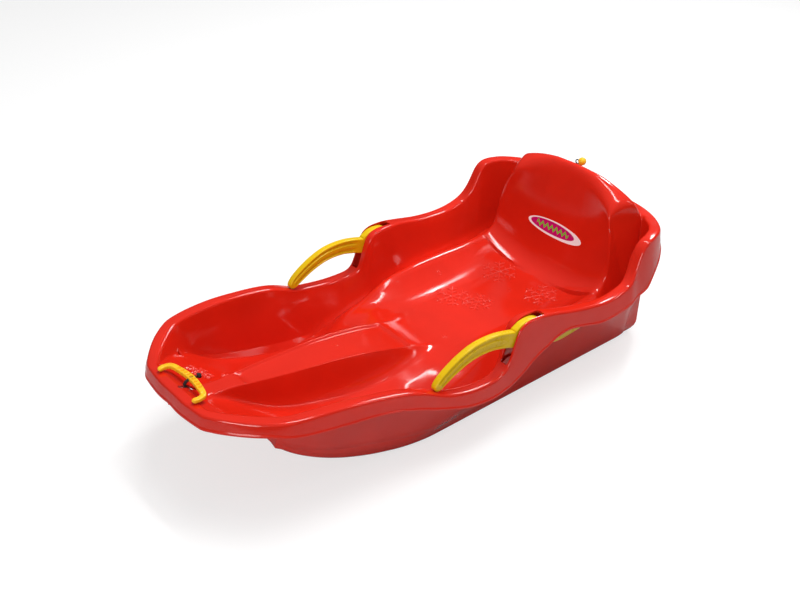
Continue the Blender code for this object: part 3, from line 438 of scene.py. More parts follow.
def tub_row(station):
    """The tub's inner surface across one half, from the middle to the edge of its floor."""
    edge = place(along(FLOOR_X, station), min(station, SEAT_END), along(FLOOR_Z, station))
    hump_x, hump_z = along(HUMP_X, station), along(HUMP_Z, station)
    foot_x, foot_z = along(FLANK_FOOT_X, station), along(FLANK_FOOT_Z, station)
    panel_z = hump_z - PANEL_SINK * within(station, PANEL_STATIONS, PANEL_SLOPES)
    bolster = along(BOLSTER_RISE, station)
    floor_x = [mix(foot_x, edge.x, t) for t in FLOOR_FRACTIONS]
    floor_z = [
        mix(foot_z, edge.z, ease(t)) + bolster * rise for t, rise in zip(FLOOR_FRACTIONS, BOLSTER_SHARES)
    ]
    across, down = FLANK_SHARES
    row = [(0.0, panel_z), (hump_x - PANEL_EDGE, panel_z), (hump_x, hump_z)]
    row += [(mix(hump_x, foot_x, across), mix(hump_z, foot_z, down)), (foot_x, foot_z)]
    row = [place(x, station, z) for x, z in row + list(zip(floor_x, floor_z))] + [edge]
    if station <= SEAT_END:
        return row
    return back_row(station, row)


def back_row(station, flat):
    """A row up the backrest: a shallow arc from its centre line to the wing, then down to the trench."""
    wing_at = len(flat) - 3
    wing = place(along(WING_X, station), along(WING_Y, station), along(WING_Z, station))
    centre = place(0.0, along(BACK_Y, station), along(BACK_Z, station))
    row = []
    for point in flat[:wing_at]:
        share = point.x / flat[wing_at].x
        arc = share ** BACK_ARC
        row.append(Vector((wing.x * share, mix(centre.y, wing.y, arc), mix(centre.z, wing.z, arc))))
    done = (station - SEAT_END) / (BACK_END - SEAT_END)
    edge_x, edge_z = along(FLOOR_X, station), along(FLOOR_Z, station)
    trench_x = mix(flat[-2].x, TRENCH_X, min(1.0, TRENCH_OPENS * done))
    trench = place(trench_x, mix(SEAT_END, TRENCH_END_Y, done), edge_z)
    edge = place(edge_x, mix(SEAT_END, FLOOR_END_Y, done), edge_z)
    return row + [wing, trench, edge]


def rim_side(station):
    return place(along(RIM_X, station), station - along(RIM_AHEAD, station), along(RIM_Z, station))


def rim_end(share, middle, corner_station, power):
    corner = rim_side(corner_station)
    return Vector((corner.x * share, mix(middle - MIDDLE, corner.y, share ** power), corner.z))


def wall_points(floor, rim, station):
    """Corners from the floor's edge up the wall, over the rim and down the skirt."""
    out = rim - floor
    out.z = 0.0
    run = out.length
    out.normalize()
    inner = max(run - along(RIM_WIDTH, station), RIM_INNER_SHARE * run)
    skirt_z = along(SKIRT_Z, station)
    height = rim.z - floor.z
    steps = [(across * inner, floor.z + up * height) for across, up in WALL_BENDS]
    steps += [
        (inner, rim.z), (run, rim.z), (run + SKIRT_FLARE, skirt_z + LIP_HEIGHT),
        (run + SKIRT_FLARE + LIP_WIDTH, skirt_z + LIP_HEIGHT - LIP_WIDTH),
        (run + SKIRT_FLARE + LIP_WIDTH, skirt_z),
    ]
    return [Vector((floor.x + out.x * d, floor.y + out.y * d, z)) for d, z in steps]


def fine_stations(runs):
    stations = [runs[0][0]]
    for first, last, spacing in runs:
        rows = math.ceil((last - first) / spacing - ROW_SLACK)
        stations += [mix(first, last, (k + 1) / rows) for k in range(rows)]
    return stations


def smoothed(points, rounds):
    """A line of points evened out, with both its ends on the middle plane."""
    for _ in range(rounds):
        before = [mirrored(points[1])] + points[:-1]
        after = points[1:] + [mirrored(points[-2])]
        points = [(a + 2 * b + c) / 4 for a, b, c in zip(before, points, after)]
    return points


def linked(name, data):
    made = bpy.data.objects.new(name, data)
    bpy.context.scene.collection.objects.link(made)
    return made


def plain_object(name, bm, finish):
    mesh = bpy.data.meshes.new(name)
    bm.to_mesh(mesh)
    bm.free()
    if finish:
        mesh.materials.append(finish)
    return linked(name, mesh)


def smooth(mesh):
    """Shades a mesh smooth, with its sharp edges kept sharp."""
    mesh.shade_smooth()
    mesh.set_sharp_from_angle(angle=SHARP_ANGLE)


def mesh_object(name, bm, finish=None):
    bmesh.ops.recalc_face_normals(bm, faces=bm.faces)
    piece = plain_object(name, bm, finish)
    smooth(piece.data)
    return piece


def rides(piece, body, *nodes):
    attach(piece, body)
    if nodes:
        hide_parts(*nodes)
    return piece


def settled(piece, cutters=()):
    """The piece with its modifiers made final, and what cut it removed."""
    for cutter in cutters:
        boolean = piece.modifiers.new("Cut", "BOOLEAN")
        boolean.operation = "DIFFERENCE"
        boolean.solver = "FAST"
        boolean.object = cutter
    final = bpy.data.meshes.new_from_object(piece.evaluated_get(bpy.context.evaluated_depsgraph_get()))
    piece.modifiers.clear()
    piece.data = final
    smooth(final)
    for cutter in cutters:
        bpy.data.objects.remove(cutter)
    return piece


def new_verts(bm, rows):
    return [[bm.verts.new(point) for point in row] for row in rows]


def sheet(name, grid, sections, flip, wall, finish):
    """A moulded sheet from rows of points and the sections that run on from their border."""
    for section in (sections[0], sections[-1]):
        for point in section:
            point.x = 0.0
    bm = bmesh.new()
    verts = new_verts(bm, grid)
    for row, following in zip(verts, verts[1:]):
        for c in range(len(row) - 1):
            face = (row[c], row[c + 1], following[c + 1], following[c])
            bm.faces.new(face[::-1] if flip else face)
    border = verts[0][:-1] + [row[-1] for row in verts] + verts[-1][-2::-1]
    loops = [border] + new_verts(bm, zip(*sections))
    for ring, outer in zip(loops, loops[1:]):
        for k in range(len(ring) - 1):
            face = (ring[k + 1], ring[k], outer[k], outer[k + 1])
            bm.faces.new(face[::-1] if flip else face)
    piece = plain_object(name, bm, finish)
    mirror = piece.modifiers.new("Both sides", "MIRROR")
    mirror.use_clip = True
    mirror.merge_threshold = 0.00005
    solid = piece.modifiers.new("Wall", "SOLIDIFY")
    solid.thickness = wall
    solid.offset = -1.0
    return piece


def rod(bm, start, end, radius, sides=32):
    axis = end - start
    turn = axis.to_track_quat("Z", "Y").to_matrix().to_4x4()
    made = bmesh.ops.create_cone(
        bm, cap_ends=True, segments=sides, radius1=radius, radius2=radius, depth=axis.length
    )
    turn.translation = (start + end) / 2
    bmesh.ops.transform(bm, matrix=turn, verts=made["verts"])


def rounded_block(bm, low, high, radius):
    """A block between two corners with its upright edges rounded."""
    outline = []
    centre = (low + high) / 2
    half_x, half_y = [(end - start) / 2 - radius for start, end in zip(low.xy, high.xy)]
    for turn, (right, ahead) in enumerate(((1, 1), (-1, 1), (-1, -1), (1, -1))):
        corner = Vector((centre.x + right * half_x, centre.y + ahead * half_y, 0))
        for k in range(BLOCK_CORNER_STEPS + 1):
            angle = math.tau / 4 * (turn + k / BLOCK_CORNER_STEPS)
            outline.append(corner + radius * spoke(angle))
    loft_into(bm, [[Vector((p.x, p.y, z)) for p in outline] for z in (low.z, high.z)])


def loft_into(bm, rings):
    """A closed body through rings of as many points each, capped at both ends."""
    verts = new_verts(bm, rings)
    for ring, following in zip(verts, verts[1:]):
        for k in range(len(ring)):
            after = (k + 1) % len(ring)
            bm.faces.new((ring[k], ring[after], following[after], following[k]))
    bm.faces.new(verts[0][::-1])
    bm.faces.new(verts[-1])


def lofted(name, rings, finish):
    bm = bmesh.new()
    loft_into(bm, rings)
    return mesh_object(name, bm, finish)


def curve_points(points, step):
    """Points about a step apart on a smooth curve through the given ones."""
    ends = [2 * points[0] - points[1]] + list(points) + [2 * points[-1] - points[-2]]
    fine = []
    for a, b, c, d in zip(ends, ends[1:], ends[2:], ends[3:]):
        count = max(2, math.ceil((c - b).length / step))
        for k in range(count):
            t = k / count
            bend = (2 * b + (c - a) * t + (2 * a - 5 * b + 4 * c - d) * t * t
                    + (3 * b - a - 3 * c + d) * t ** 3)
            fine.append(bend / 2)
    return fine + [points[-1]]


def seat_shell(finish):
    stations = fine_stations(ROW_SPACING)
    grid = []
    for station in stations:
        reaches = list(FLOOR_REACHES if station <= SEAT_END else BACK_REACHES)
        if station <= SEAT_END:
            softer = ease((station - CREASE_FADES_AT) / CREASE_FADE)
            reaches[CREASE_CORNER] = mix(CREASE_REACH, FLOOR_REACHES[CREASE_CORNER], softer)
        grid.append(rounded_corners(tub_row(station), reaches))
    front, rear = grid[0], grid[-1]
    floor_line = front[:-1] + [row[-1] for row in grid] + rear[-2::-1]
    rim_line = [rim_end(point.x / front[-1].x, *FRONT_RIM) for point in front[:-1]]
    rim_line += [rim_side(station) for station in stations]
    rim_line += [rim_end(point.x / rear[-1].x, *REAR_RIM) for point in rear[-2::-1]]
    across = len(front) - 1
    station_line = stations[:1] * across + stations + stations[-1:] * across
    rim_line = smoothed(rim_line, RIM_ROUNDS)
    rounder = smoothed(rim_line, FRONT_ROUNDS)
    rim_line = [
        point.lerp(round_point, ease((ROUND_FRONT - station) / FRONT_BLEND))
        for point, round_point, station in zip(rim_line, rounder, station_line)
    ]
    sections = []
    for floor, rim, station in zip(floor_line, rim_line, station_line):
        sections.append(rounded_corners([floor] + wall_points(floor, rim, station), WALL_REACHES)[1:])
    tub = sheet("seat_tub", grid, sections, False, TUB_WALL, finish)
    return rides(settled(tub, tub_openings()), "sled", "seat_shell")


def tub_openings():
    """The lever slots, the keyhole in the front deck and the cord's hole in the crest."""
    bm = bmesh.new()
    for side in (1, -1):
        low = place(side * LEVER_X - SLOT_WIDTH / 2, *SLOT_FRONT)
        high = place(side * LEVER_X + SLOT_WIDTH / 2, *SLOT_REAR)
        rounded_block(bm, low, high, SLOT_ROUND)
    front, eye = KEYHOLE_STATIONS
    low, high = HANDLE_Z - KEYHOLE_REACH, HANDLE_Z + KEYHOLE_REACH
    rod(bm, place(0, eye, low), place(0, eye, high), KEYHOLE_EYE)
    perch, out = ball_perch()
    rod(bm, perch - out * CREST_HOLE_REACH, perch + out * CREST_HOLE_REACH, CORD_HOLE)
    slot = bmesh.new()
    corners = place(-KEYHOLE_WIDTH / 2, front, low), place(KEYHOLE_WIDTH / 2, eye, high)
    rounded_block(slot, *corners, KEYHOLE_ROUND * KEYHOLE_WIDTH)
    return [mesh_object("openings", bm), mesh_object("keyhole_slot", slot)]


def lever_ring(point, tangent, half_height, width, groove):
    """Section of a brake lever: a rounded bar with two grooves along each side."""
    up = ACROSS.cross(tangent).normalized()
    half = width / 2
    of_height, of_width = LEVER_ROUND_SHARES
    radius = min(LEVER_ROUND, of_height * half_height, of_width * width)
    flat = half_height - radius
    side = []
    for k in range(LEVER_SIDE_POINTS):
        z = mix(-flat, flat, k / (LEVER_SIDE_POINTS - 1))
        side.append((half - groove * within(abs(z) / half_height, GROOVE_BAND, GROOVE_SLOPES), z))
    for k in range(1, LEVER_ROUND_POINTS + 1):
        angle = math.tau / 4 * k / (LEVER_ROUND_POINTS + 1)
        side.append((half - radius + radius * math.cos(angle), flat + radius * math.sin(angle)))
    side.append((half - radius, half_height))
    corner = [(x, -z) for x, z in reversed(side[LEVER_SIDE_POINTS:])]
    right = corner + side
    left = [(-x, -z) for x, z in right]
    return [point + ACROSS * x + up * z for x, z in right + left]


def brake_lever(side, finish):
    line = curve_points([Vector(row) for row in LEVER_LINE], LEVER_STEP)
    middle = []
    for station, z, _, _ in line:
        lean = LEVER_LEAN * max(0.0, PIVOT_STATION - station)
        middle.append(place(side * (LEVER_X - lean), station, z))
    rings = []
    for k, (station, _, half_height, width) in enumerate(line):
        groove = GROOVE_DEPTH * within(station, GROOVE_RUN, GROOVE_FADES)
        rings.append(lever_ring(middle[k], tangent_at(middle, k), half_height, width, groove))
    name = "left" if side > 0 else "right"
    rides(lofted(f"lever_{name}", rings, finish), f"brake_{name}", f"brake_lever_{name}")


def brake_bosses(finish):
    """Short bosses inside the rim that hold the brake pins."""
    bm = bmesh.new()
    low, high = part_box("brake_pin_left")
    centre = (low + high) / 2
    gap = ARM_WIDTH / 2 + BOSS_CLEARANCE
    for side in (1, -1):
        for start, end in ((low.x, LEVER_X - gap), (LEVER_X + gap, high.x)):
            rod(bm, *[Vector((side * x, centre.y, centre.z)) for x in (start, end)], BOSS_RADIUS)
    rides(mesh_object("brake_bosses", bm, finish), "sled")


def pull_handle(finish):
    """The bow of the tow handle, with pockets along its middle and a groove along each leg."""
    half = [place(x, station, HANDLE_Z) for x, station in HANDLE_LINE]
    line = curve_points(half + [mirrored(point) for point in half[-2::-1]], HANDLE_STEP)
    runs = [0.0]
    for before, after in zip(line, line[1:]):
        runs.append(runs[-1] + (after - before).length)
    whole = runs[-1]
    rings = []
    for k, (point, run) in enumerate(zip(line, runs)):
        across = tangent_at(line, k).cross(UP)
        from_end = min(run, whole - run)
        size = math.sqrt(max(HANDLE_END_SIZE, 1 - max(0.0, 1 - from_end / HANDLE_END) ** 2))
        from_middle = abs(run - whole / 2)
        size *= mix(1.0, LEG_TAPER, 2 * from_middle / whole)
        pocket = (from_middle / POCKET_PITCH + 0.5) % 1.0
        half_pocket, slope = POCKET_LENGTH
        sunk = ease((half_pocket - abs(pocket - 0.5)) / slope)
        sunk *= ease((POCKET_RUN - from_middle) / LAST_POCKET_SLOPE)
        groove = within(from_middle, LEG_GROOVE, LEG_GROOVE_FADES)
        ring = []
        for j in range(HANDLE_SIDES):
            turn = math.tau * (j + 0.5) / HANDLE_SIDES
            x, z = [
                math.copysign(abs(part) ** HANDLE_SQUARE, part) for part in (math.cos(turn), math.sin(turn))
            ]
            inside = sunk * ease((POCKET_WIDTH - abs(x)) / DENT_SLOPE)
            thin = groove * ease((LEG_GROOVE_WIDTH - abs(x)) / DENT_SLOPE)
            dent = POCKET_DEPTH * max(inside, thin) if z > 0 else 0.0
            up = z * size * HANDLE_HEIGHT / 2 - dent
            ring.append(point + across * (x * size * HANDLE_WIDTH / 2) + UP * up)
        rings.append(ring)
    rides(lofted("tow_handle", rings, finish), "tow", "pull_handle")


def hull_height(station):
    """Underside of the hull: flat, then a round sweep up to the front."""
    ahead = max(0.0, HULL_ARC_START - station)
    return HULL_ARC_RADIUS - math.sqrt(HULL_ARC_RADIUS ** 2 - ahead ** 2)


def lapped_wall(station, share):
    """Outer side of the hull where it laps the tub's side wall, at a share of that wall's height."""
    row_station = station
    if station > SEAT_END:
        row_station = mix(SEAT_END, BACK_END, (station - SEAT_END) / (FLOOR_END_Y - SEAT_END))
    floor = tub_row(row_station)[-1]
    rim = rim_side(row_station)
    section = [floor] + wall_points(floor, rim, row_station)[:3]
    out = rim - floor
    out.z = 0.0
    out.normalize()
    z = mix(floor.z, section[-1].z, share)
    spans = list(zip(section, section[1:]))
    low, high = next((span for span in spans if span[1].z >= z), spans[-1])
    normal = (out * (high.z - low.z) - UP * (high - low).dot(out)).normalized()
    return low.lerp(high, (z - low.z) / (high.z - low.z)) + normal * (TUB_WALL + HULL_WALL + HULL_LAP_GAP)


def hull_row(station, rear):
    """Outer surface of the hull's bottom across one half."""
    half = along(HULL_X, station) - HULL_CORNER
    start, full = CHANNEL_START
    channel = CHANNEL_DEPTH * ease((station - start) / (full - start))
    row = []
    for x, share in zip(HULL_COLUMNS + (HULL_LAST_COLUMN * half, half), CHANNEL_SHARES):
        bow = HULL_REAR_BOW * (1 - (x / half) ** HULL_BOW_POWER) if rear else 0.0
        row.append(place(x, station + bow, hull_height(station) + channel * share))
    return row


def hull_section(bottom, out, corner, wall):
    """From the bottom's edge round its corner and up the given points of the wall."""
    knees = []
    for share in KNEE_ANGLES:
        angle = share * math.tau / 4
        knees.append(bottom + out * (corner * math.sin(angle)) + UP * (corner * (1 - math.cos(angle))))
    return knees + rounded_corners([bottom + out * corner + UP * corner] + wall, HULL_REACHES)


def hull_shell(finish):
    """The hull with its two runners, its sides lapping the tub's walls under the skirt."""
    stations = fine_stations(HULL_SPACING)
    rows = [hull_row(station, station == stations[-1]) for station in stations]
    knees = len(KNEE_ANGLES)
    sections = []
    for point in rows[0][:-1]:
        wall = []
        for share in HULL_END_SHARES:
            flare = HULL_FRONT_FLARE * min(1.0, HULL_FLARE_RATE * share)
            wall.append(Vector((point.x, point.y - flare, mix(point.z, HULL_FRONT_TOP, share))))
        foot = [point.lerp(wall[0], (k + 1) / (knees + 2)) for k in range(knees + 1)]
        sections.append(foot[:knees] + rounded_corners(foot[knees:] + wall, HULL_REACHES))
    for station, row in zip(stations, rows):
        out, corner = ACROSS, HULL_CORNER
        if station == stations[0]:
            out = Vector((1, -1, 0)).normalized()
        if station == stations[-1]:
            out, corner = Vector((1, 1, 0)).normalized(), HULL_REAR_CORNER
        lap = along(HULL_LAP, station)
        wall = [lapped_wall(station, lap * share) for share in HULL_SIDE_SHARES]
        corner = min(corner, HULL_CORNER_SHARE * max(HULL_CORNER_HEIGHT, wall[0].z - row[-1].z))
        sections.append(hull_section(row[-1], out, corner, wall))
    for point in rows[-1][-2::-1]:
        share = point.x / rows[-1][-1].x
        rim = rim_end(share, *REAR_RIM)
        along_rim = rim_end(share + RIM_STEP, *REAR_RIM) - rim_end(share - RIM_STEP, *REAR_RIM)
        inward = Vector((along_rim.y, -along_rim.x, 0.0)).normalized()
        start = point - inward * HULL_REAR_CORNER + UP * HULL_REAR_CORNER
        top = rim + inward * HULL_UNDER_RIM
        top.z = rim.z - TUB_WALL - HULL_TOP_GAP
        wall = [start.lerp(top, share) for share in HULL_END_SHARES]
        sections.append(hull_section(point, -inward, HULL_REAR_CORNER, wall))
    rides(settled(sheet("hull", rows, sections, True, HULL_WALL, finish)), "sled", "hull_shell")


def ball_perch():
    """Where the cord comes out on the slope behind the crest, and its direction there."""
    upper, lower, share = BALL_PERCH
    top, foot = [place(0, knots(BACK_Y, row), knots(BACK_Z, row)) for row in (upper, lower)]
    slope = foot - top
    return top.lerp(foot, share), Vector((0, -slope.z, slope.y)).normalized()


def turned(name, outline, centre, axis, finish, sides=48):
    """A body of revolution from (distance along the axis, radius) pairs, from pole to pole."""
    turn = axis.to_track_quat("Z", "Y")
    rings = []
    for along_axis, radius in outline:
        rings.append([
            centre + turn @ Vector((radius * math.cos(a), radius * math.sin(a), along_axis))
            for a in circle(sides)
        ])
    return lofted(name, rings, finish)


def stop_ball(finish, black):
    """The ball behind the crest, with a parting line, a drilled hole and the cord's stop knot in it."""
    perch, out = ball_perch()
    centre = perch + out * (BALL_GAP + BALL_RADIUS)
    foot, mouth = [
        [(BALL_RADIUS * up, CORD_HOLE * wide) for up, wide in edge] for edge in (BALL_FOOT, BALL_MOUTH)
    ]
    outline = []
    for k in range(1, BALL_STEPS):
        angle = math.pi * k / BALL_STEPS
        radius = BALL_RADIUS * math.sin(angle)
        if radius > CORD_HOLE * BALL_HOLE_EDGE:
            sunk = 0.0 if 2 * k == BALL_STEPS else BALL_SEAM
            outline.append((-BALL_RADIUS * math.cos(angle), radius - sunk))
    rides(turned("stop_ball", foot + outline + mouth, centre, out, finish), "sled", "cord_ball")
    rides(turned("stop_knot", STOP_KNOT, centre, out, black, STOP_KNOT_SIDES), "sled")
    loop = [
        perch + Vector((CORD_LOOP * math.cos(a), 0, CORD_LOOP * math.sin(a))) + CORD_LOOP_AT
        for a in circle(CORD_LOOP_STEPS) + [math.tau]
    ]
    rides(tube("cord_loop", loop, CORD_LOOP_RADIUS, black), "sled")


def tube(name, points, radius, finish, sides=16):
    """A round cord through the given points, closed at its ends."""
    normal = ACROSS
    rings = []
    for k, point in enumerate(points):
        tangent = tangent_at(points, k)
        normal = normal - tangent * normal.dot(tangent)
        if normal.length < LEAST_NORMAL:
            normal = tangent.orthogonal()
        normal.normalize()
        binormal = tangent.cross(normal)
        rings.append([
            point + radius * (normal * math.cos(a) + binormal * math.sin(a))
            for a in circle(sides)
        ])
    return lofted(name, rings, finish)


def knot(finish):
    """The overhand knot that holds the lead behind the handle."""
    low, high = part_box("cord_knot")
    centre = (low + high) / 2
    points = []
    for a in circle(KNOT_STEPS) + [math.tau]:
        across = (math.sin(a) + 2 * math.sin(2 * a)) * KNOT_SPREAD
        up = (math.cos(a) - 2 * math.cos(2 * a)) * KNOT_SPREAD
        points.append(centre + Vector((across, -math.sin(3 * a) * KNOT_DEPTH, up)))
    rides(tube("lead_knot", points, KNOT_CORD, finish), "tow", "cord_knot")


class Surface:
    """The tub's own surface, to lay small raised forms on."""

    def __init__(self, piece):
        bm = bmesh.new()
        bm.from_mesh(piece.data)
        self.tree = BVHTree.FromBMesh(bm)
        bm.free()

    def below(self, x, y):
        return self.tree.ray_cast(Vector((x + OFF_SEAM, y + OFF_SEAM, RAY_TOP)), -UP)[:2]

    def behind(self, x, z):
        return self.tree.ray_cast(Vector((x + OFF_SEAM, RAY_FRONT, z + OFF_SEAM)), Vector((0, 1, 0)))[:2]


def raised_bar(bm, surface, start, end):
    """A low rounded ridge laid on the tub from one point of its plan to another."""
    steps = max(3, math.ceil((end - start).length / BAR_STEP))
    along_bar = (end - start).normalized()
    aside = Vector((-along_bar.y, along_bar.x, 0))
    rings = []
    for k in range(steps + 1):
        t = k / steps
        taper = math.sqrt(max(BAR_END, 1 - abs(2 * t - 1) ** BAR_BLUNT))
        ring = []
        for offset, rise in BAR_SECTION:
            at = start.lerp(end, t) + aside * (offset * FLAKE_WIDTH * taper)
            spot, normal = surface.below(at.x, at.y)
            ring.append(spot + normal * (rise * FLAKE_HEIGHT * (taper if rise > 0 else 1)))
        rings.append(ring)
    loft_into(bm, rings)


def snowflake(bm, surface, x, station, radius, turn):
    """A six-armed snow crystal in relief, with two pairs of side branches on each arm."""
    centre = place(x, station, 0.0)
    for arm in circle(FLAKE_ARMS):
        angle = turn + arm
        raised_bar(bm, surface, centre, centre + radius * spoke(angle))
        for share, length in FLAKE_BRANCHES:
            root = centre + share * radius * spoke(angle)
            for lean in (1, -1):
                tip = root + length * radius * spoke(angle + lean * math.tau / FLAKE_ARMS)
                raised_bar(bm, surface, root, tip)


def mould_marks(surface, finish, painted_highlight_finish):
    """The snow crystals on the seat and the deck, in a lighter red as a painted highlight, and the round
    marks that the mould's pins leave.
    """
    bm = bmesh.new()
    for x, station, radius, turn in FLAKES:
        snowflake(bm, surface, x, station, radius, turn)
    rides(mesh_object("snow_crystals", bm, painted_highlight_finish), "sled")
    bm = bmesh.new()
    for x, station in PIN_MARKS:
        centre = place(x, station, 0.0)
        rings = []
        for distance, rise in PIN_MARK_SECTION:
            ring = []
            for angle in circle(PIN_MARK_SIDES):
                spot, normal = surface.below(
                    centre.x + distance * math.cos(angle), centre.y + distance * math.sin(angle)
                )
                ring.append(spot + normal * rise)
            rings.append(ring)
        loft_into(bm, rings)
    rides(mesh_object("pin_marks", bm, finish), "sled")


def sticker(surface, finish):
    """An oval label on the backrest, laid on its curve."""
    bm = bmesh.new()
    flat = bm.loops.layers.uv.new("UVMap")
    x0, z0 = STICKER_AT
    half_x, half_z = STICKER_SIZE
    shares = [mix(STICKER_EYE, 1.0, k / STICKER_RINGS) for k in range(STICKER_RINGS + 1)]

    def ring(share, rise):
        made = []
        for angle in circle(STICKER_SIDES):
            u, v = share * math.cos(angle), share * math.sin(angle)
            spot, normal = surface.behind(x0 + half_x * u, z0 + half_z * v)
            made.append((bm.verts.new(spot + normal * rise), u, v))
        return made

    rings = [ring(share, STICKER_RISE) for share in shares]
    rings += [ring(share, -STICKER_RISE) for share in (1.0, STICKER_EYE)]
    faces = []
    for inner, outer in zip(rings, rings[1:]):
        for k in range(STICKER_SIDES):
            after = (k + 1) % STICKER_SIDES
            faces.append((inner[k], outer[k], outer[after], inner[after]))
    for corners in faces + [rings[0], rings[-1]]:
        face = bm.faces.new([vert for vert, _, _ in corners])
        for loop, (_, u, v) in zip(face.loops, corners):
            loop[flat].uv = (u, v)
    rides(mesh_object("back_label", bm, finish), "sled")


class Nodes:
    """Short calls for a material's nodes."""

    def __init__(self, name):
        self.material = bpy.data.materials.new(name)
        self.material.use_nodes = True
        self.tree = self.material.node_tree
        self.shader = self.tree.nodes["Principled BSDF"]

    def add(self, kind, settings=(), **inputs):
        node = self.tree.nodes.new(kind)
        for key, value in dict(settings).items():
            setattr(node, key, value)
        self.feed(node, **inputs)
        return node

    def feed(self, node, **inputs):
        """Links or sets inputs of a node, each by its name with _ for a space or by its place, as i6."""
        for key, value in inputs.items():
            placed = key[0] == "i" and key[1:].isdigit()
            socket = node.inputs[int(key[1:]) if placed else key.replace("_", " ")]
            if isinstance(value, bpy.types.NodeSocket):
                self.tree.links.new(value, socket)
            else:
                socket.default_value = value

    def position(self):
        return self.add("ShaderNodeTexCoord").outputs["Object"]

    def maths(self, operation, *values):
        inputs = {f"i{k}": value for k, value in enumerate(values)}
        return self.add("ShaderNodeMath", {"operation": operation}, **inputs).outputs[0]

    def ramp(self, factor, stops):
        node = self.add("ShaderNodeValToRGB", Fac=factor)
        elements = node.color_ramp.elements
        while len(elements) < len(stops):
            elements.new(1.0)
        for element, (position, color) in zip(elements, stops):
            element.position = position
            element.color = color
        return node.outputs["Color"]

    def noise(self, where, scale, detail=3.0, roughness=0.5):
        node = self.add("ShaderNodeTexNoise", Vector=where, Scale=scale, Detail=detail, Roughness=roughness)
        return node.outputs["Fac"]

    def bump(self, height, strength, distance):
        node = self.add("ShaderNodeBump", Strength=strength, Distance=distance, Height=height)
        self.feed(self.shader, Normal=node.outputs["Normal"])


def tinted(color, share):
    return tuple(min(1.0, part * share) for part in color[:3]) + (1.0,)


def plastic(name, color, gloss, grain, scuffs, sheen=0.5):
    """Moulded plastic: faint clouding of its colour, patches of duller gloss, and orange peel."""
    made = Nodes(name)
    where = made.position()
    cloud = made.noise(where, scale=14.0, detail=4.0)
    tints = made.ramp(cloud, [(position, tinted(color, share)) for position, share in CLOUD_STOPS])
    patches = made.noise(where, scale=60.0, detail=5.0, roughness=0.6)
    dull = made.add("ShaderNodeMapRange", Value=patches, From_Min=0.35, From_Max=0.75)
    made.feed(dull, To_Min=gloss, To_Max=gloss + scuffs)
    roughness = dull.outputs["Result"]
    made.feed(made.shader, Base_Color=tints, Roughness=roughness, IOR=1.49, Specular_IOR_Level=sheen)
    made.bump(made.noise(where, scale=grain, detail=2.0), strength=0.06, distance=0.0004)
    return made.material


def cord_fibre():
    """Black braided cord."""
    made = Nodes("braided_cord")
    where = made.position()
    braid = made.add("ShaderNodeTexVoronoi", Vector=where, Scale=900.0).outputs["Distance"]
    made.feed(made.shader, Base_Color=made.ramp(braid, BRAID_STOPS), Roughness=0.62)
    made.bump(braid, strength=0.6, distance=0.0006)
    return made.material


def brushed_steel():
    """The brake pins: drawn steel with fine lines round it."""
    made = Nodes("drawn_steel")
    where = made.position()
    stretched = made.add("ShaderNodeMapping", Vector=where, Scale=(60.0, 900.0, 900.0)).outputs["Vector"]
    lines = made.noise(stretched, scale=3.0)
    made.feed(made.shader, Base_Color=made.ramp(lines, STEEL_STOPS), Metallic=1.0, Roughness=0.3)
    return made.material


def label_print():
    """A white oval with a magenta field and a green zigzag across it."""
    made = Nodes("oval_label")
    spread = made.add("ShaderNodeUVMap", {"uv_map": "UVMap"}).outputs["UV"]
    parts = made.add("ShaderNodeSeparateXYZ", Vector=spread)
    u = made.maths("ADD", parts.outputs["X"], FIELD_SHIFT[0])
    v = made.maths("ADD", parts.outputs["Y"], FIELD_SHIFT[1])
    squares = []
    for part, size in zip((u, v), FIELD_SIZE):
        share = made.maths("DIVIDE", part, size)
        squares.append(made.maths("MULTIPLY", share, share))
    field = made.maths("LESS_THAN", made.maths("ADD", *squares), 1.0)
    wave = made.maths("PINGPONG", made.maths("ADD", u, ZIGZAG_START), ZIGZAG_PITCH)
    swing = made.maths("MULTIPLY", made.maths("SUBTRACT", wave, ZIGZAG_PITCH / 2), ZIGZAG_SWING)
    off_line = made.maths("ABSOLUTE", made.maths("SUBTRACT", v, swing))
    line = made.maths("LESS_THAN", off_line, ZIGZAG_HALF)
    short = made.maths("LESS_THAN", made.maths("ABSOLUTE", u), ZIGZAG_END)
    zigzag = made.maths("MULTIPLY", line, short)
    print_color = LABEL_WHITE
    for mask, color in ((field, LABEL_MAGENTA), (zigzag, LABEL_GREEN)):
        mixed = made.add("ShaderNodeMix", {"data_type": "RGBA"}, i0=mask, i6=print_color, i7=color)
        print_color = mixed.outputs[2]
    made.feed(made.shader, Base_Color=print_color, Roughness=0.22)
    where = made.position()
    made.bump(made.noise(where, scale=700.0, detail=2.0), strength=0.05, distance=0.0003)
    return made.material


def build_stage():
    """A white floor that the camera sees, over a grey one that lights the object from below."""
    for name, tint, glow, seen in FLOORS:
        bm = bmesh.new()
        bmesh.ops.create_grid(bm, x_segments=1, y_segments=1, size=FLOOR_HALF)
        made = Nodes(name)
        made.feed(
            made.shader, Base_Color=(tint, tint, tint, 1.0), Roughness=0.95, Specular_IOR_Level=0.0,
            Emission_Color=(1.0, 1.0, 1.0, 1.0), Emission_Strength=glow,
        )
        plane = mesh_object(name, bm, made.material)
        plane.location.z = 0.0 if seen else -FLOOR_APART
        plane.visible_camera = seen
        plane.visible_diffuse = plane.visible_glossy = plane.visible_shadow = not seen


def area_light(name, location, target, size, power, shines):
    data = bpy.data.lights.new(name, "AREA")
    data.shape = "RECTANGLE"
    data.size, data.size_y = size
    data.energy = power
    lamp = linked(name, data)
    lamp.location = location
    lamp.rotation_euler = (Vector(target) - Vector(location)).to_track_quat("-Z", "Y").to_euler()
    lamp.visible_glossy = shines


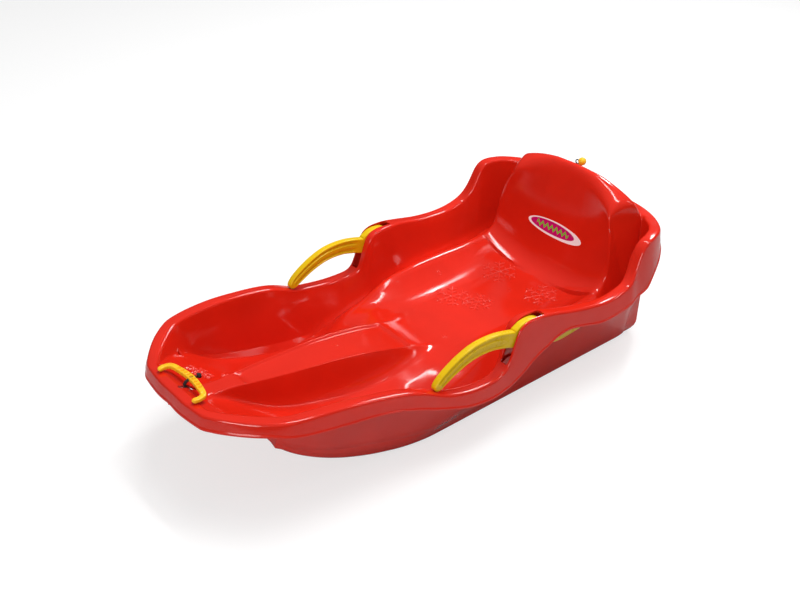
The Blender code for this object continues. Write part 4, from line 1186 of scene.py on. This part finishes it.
def build_camera():
    data = bpy.data.cameras.new("camera")
    data.sensor_width = CAMERA_SENSOR
    data.lens = CAMERA_LENS
    camera = linked("camera", data)
    camera.location = CAMERA_AT
    camera.rotation_euler = (Vector(CAMERA_AIM) - camera.location).to_track_quat("-Z", "Y").to_euler()
    bpy.context.scene.camera = camera


def build_world():
    """A studio that is bright overhead and dimmer towards the walls."""
    world = bpy.data.worlds.new("studio")
    bpy.context.scene.world = world
    world.use_nodes = True
    nodes, links = world.node_tree.nodes, world.node_tree.links
    coords = nodes.new("ShaderNodeTexCoord")
    split = nodes.new("ShaderNodeSeparateXYZ")
    ramp = nodes.new("ShaderNodeValToRGB")
    links.new(coords.outputs["Generated"], split.inputs["Vector"])
    links.new(split.outputs["Z"], ramp.inputs["Fac"])
    links.new(ramp.outputs["Color"], nodes["Background"].inputs["Color"])
    for element, (position, level) in zip(ramp.color_ramp.elements, STUDIO_LEVELS):
        element.position = position
        element.color = (level, level, level, 1.0)
    nodes["Background"].inputs["Strength"].default_value = STUDIO_STRENGTH


red = plastic("red_plastic", TUB_RED, gloss=0.1, grain=420.0, scuffs=0.05)
# lighter red for the snow crystals: a painted highlight on their raised edges
painted_highlight_red = plastic("painted_highlight_red", PAINTED_HIGHLIGHT_RED, gloss=0.16, grain=420.0, scuffs=0.06)
yellow = plastic("brake_yellow", BRAKE_YELLOW, gloss=0.26, grain=500.0, scuffs=0.08, sheen=0.3)
handle_yellow = plastic("handle_yellow", HANDLE_YELLOW, gloss=0.24, grain=500.0, scuffs=0.08, sheen=0.3)
black = cord_fibre()

tub = seat_shell(red)
brake_bosses(red)
hull_shell(red)
for side in (1, -1):
    brake_lever(side, yellow)
for name in ("brake_pin_left", "brake_pin_right"):
    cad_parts[name].data.materials[0] = brushed_steel()
for name in ("tow_cord", "tow_cord_lead"):
    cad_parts[name].data.materials[0] = black
pull_handle(handle_yellow)
stop_ball(handle_yellow, black)
knot(black)
surface = Surface(tub)
mould_marks(surface, red, painted_highlight_red)
sticker(surface, label_print())

build_stage()
build_camera()
build_world()
for lamp in STUDIO_LAMPS:
    area_light(*lamp)
bpy.context.scene.view_settings.view_transform = "Standard"
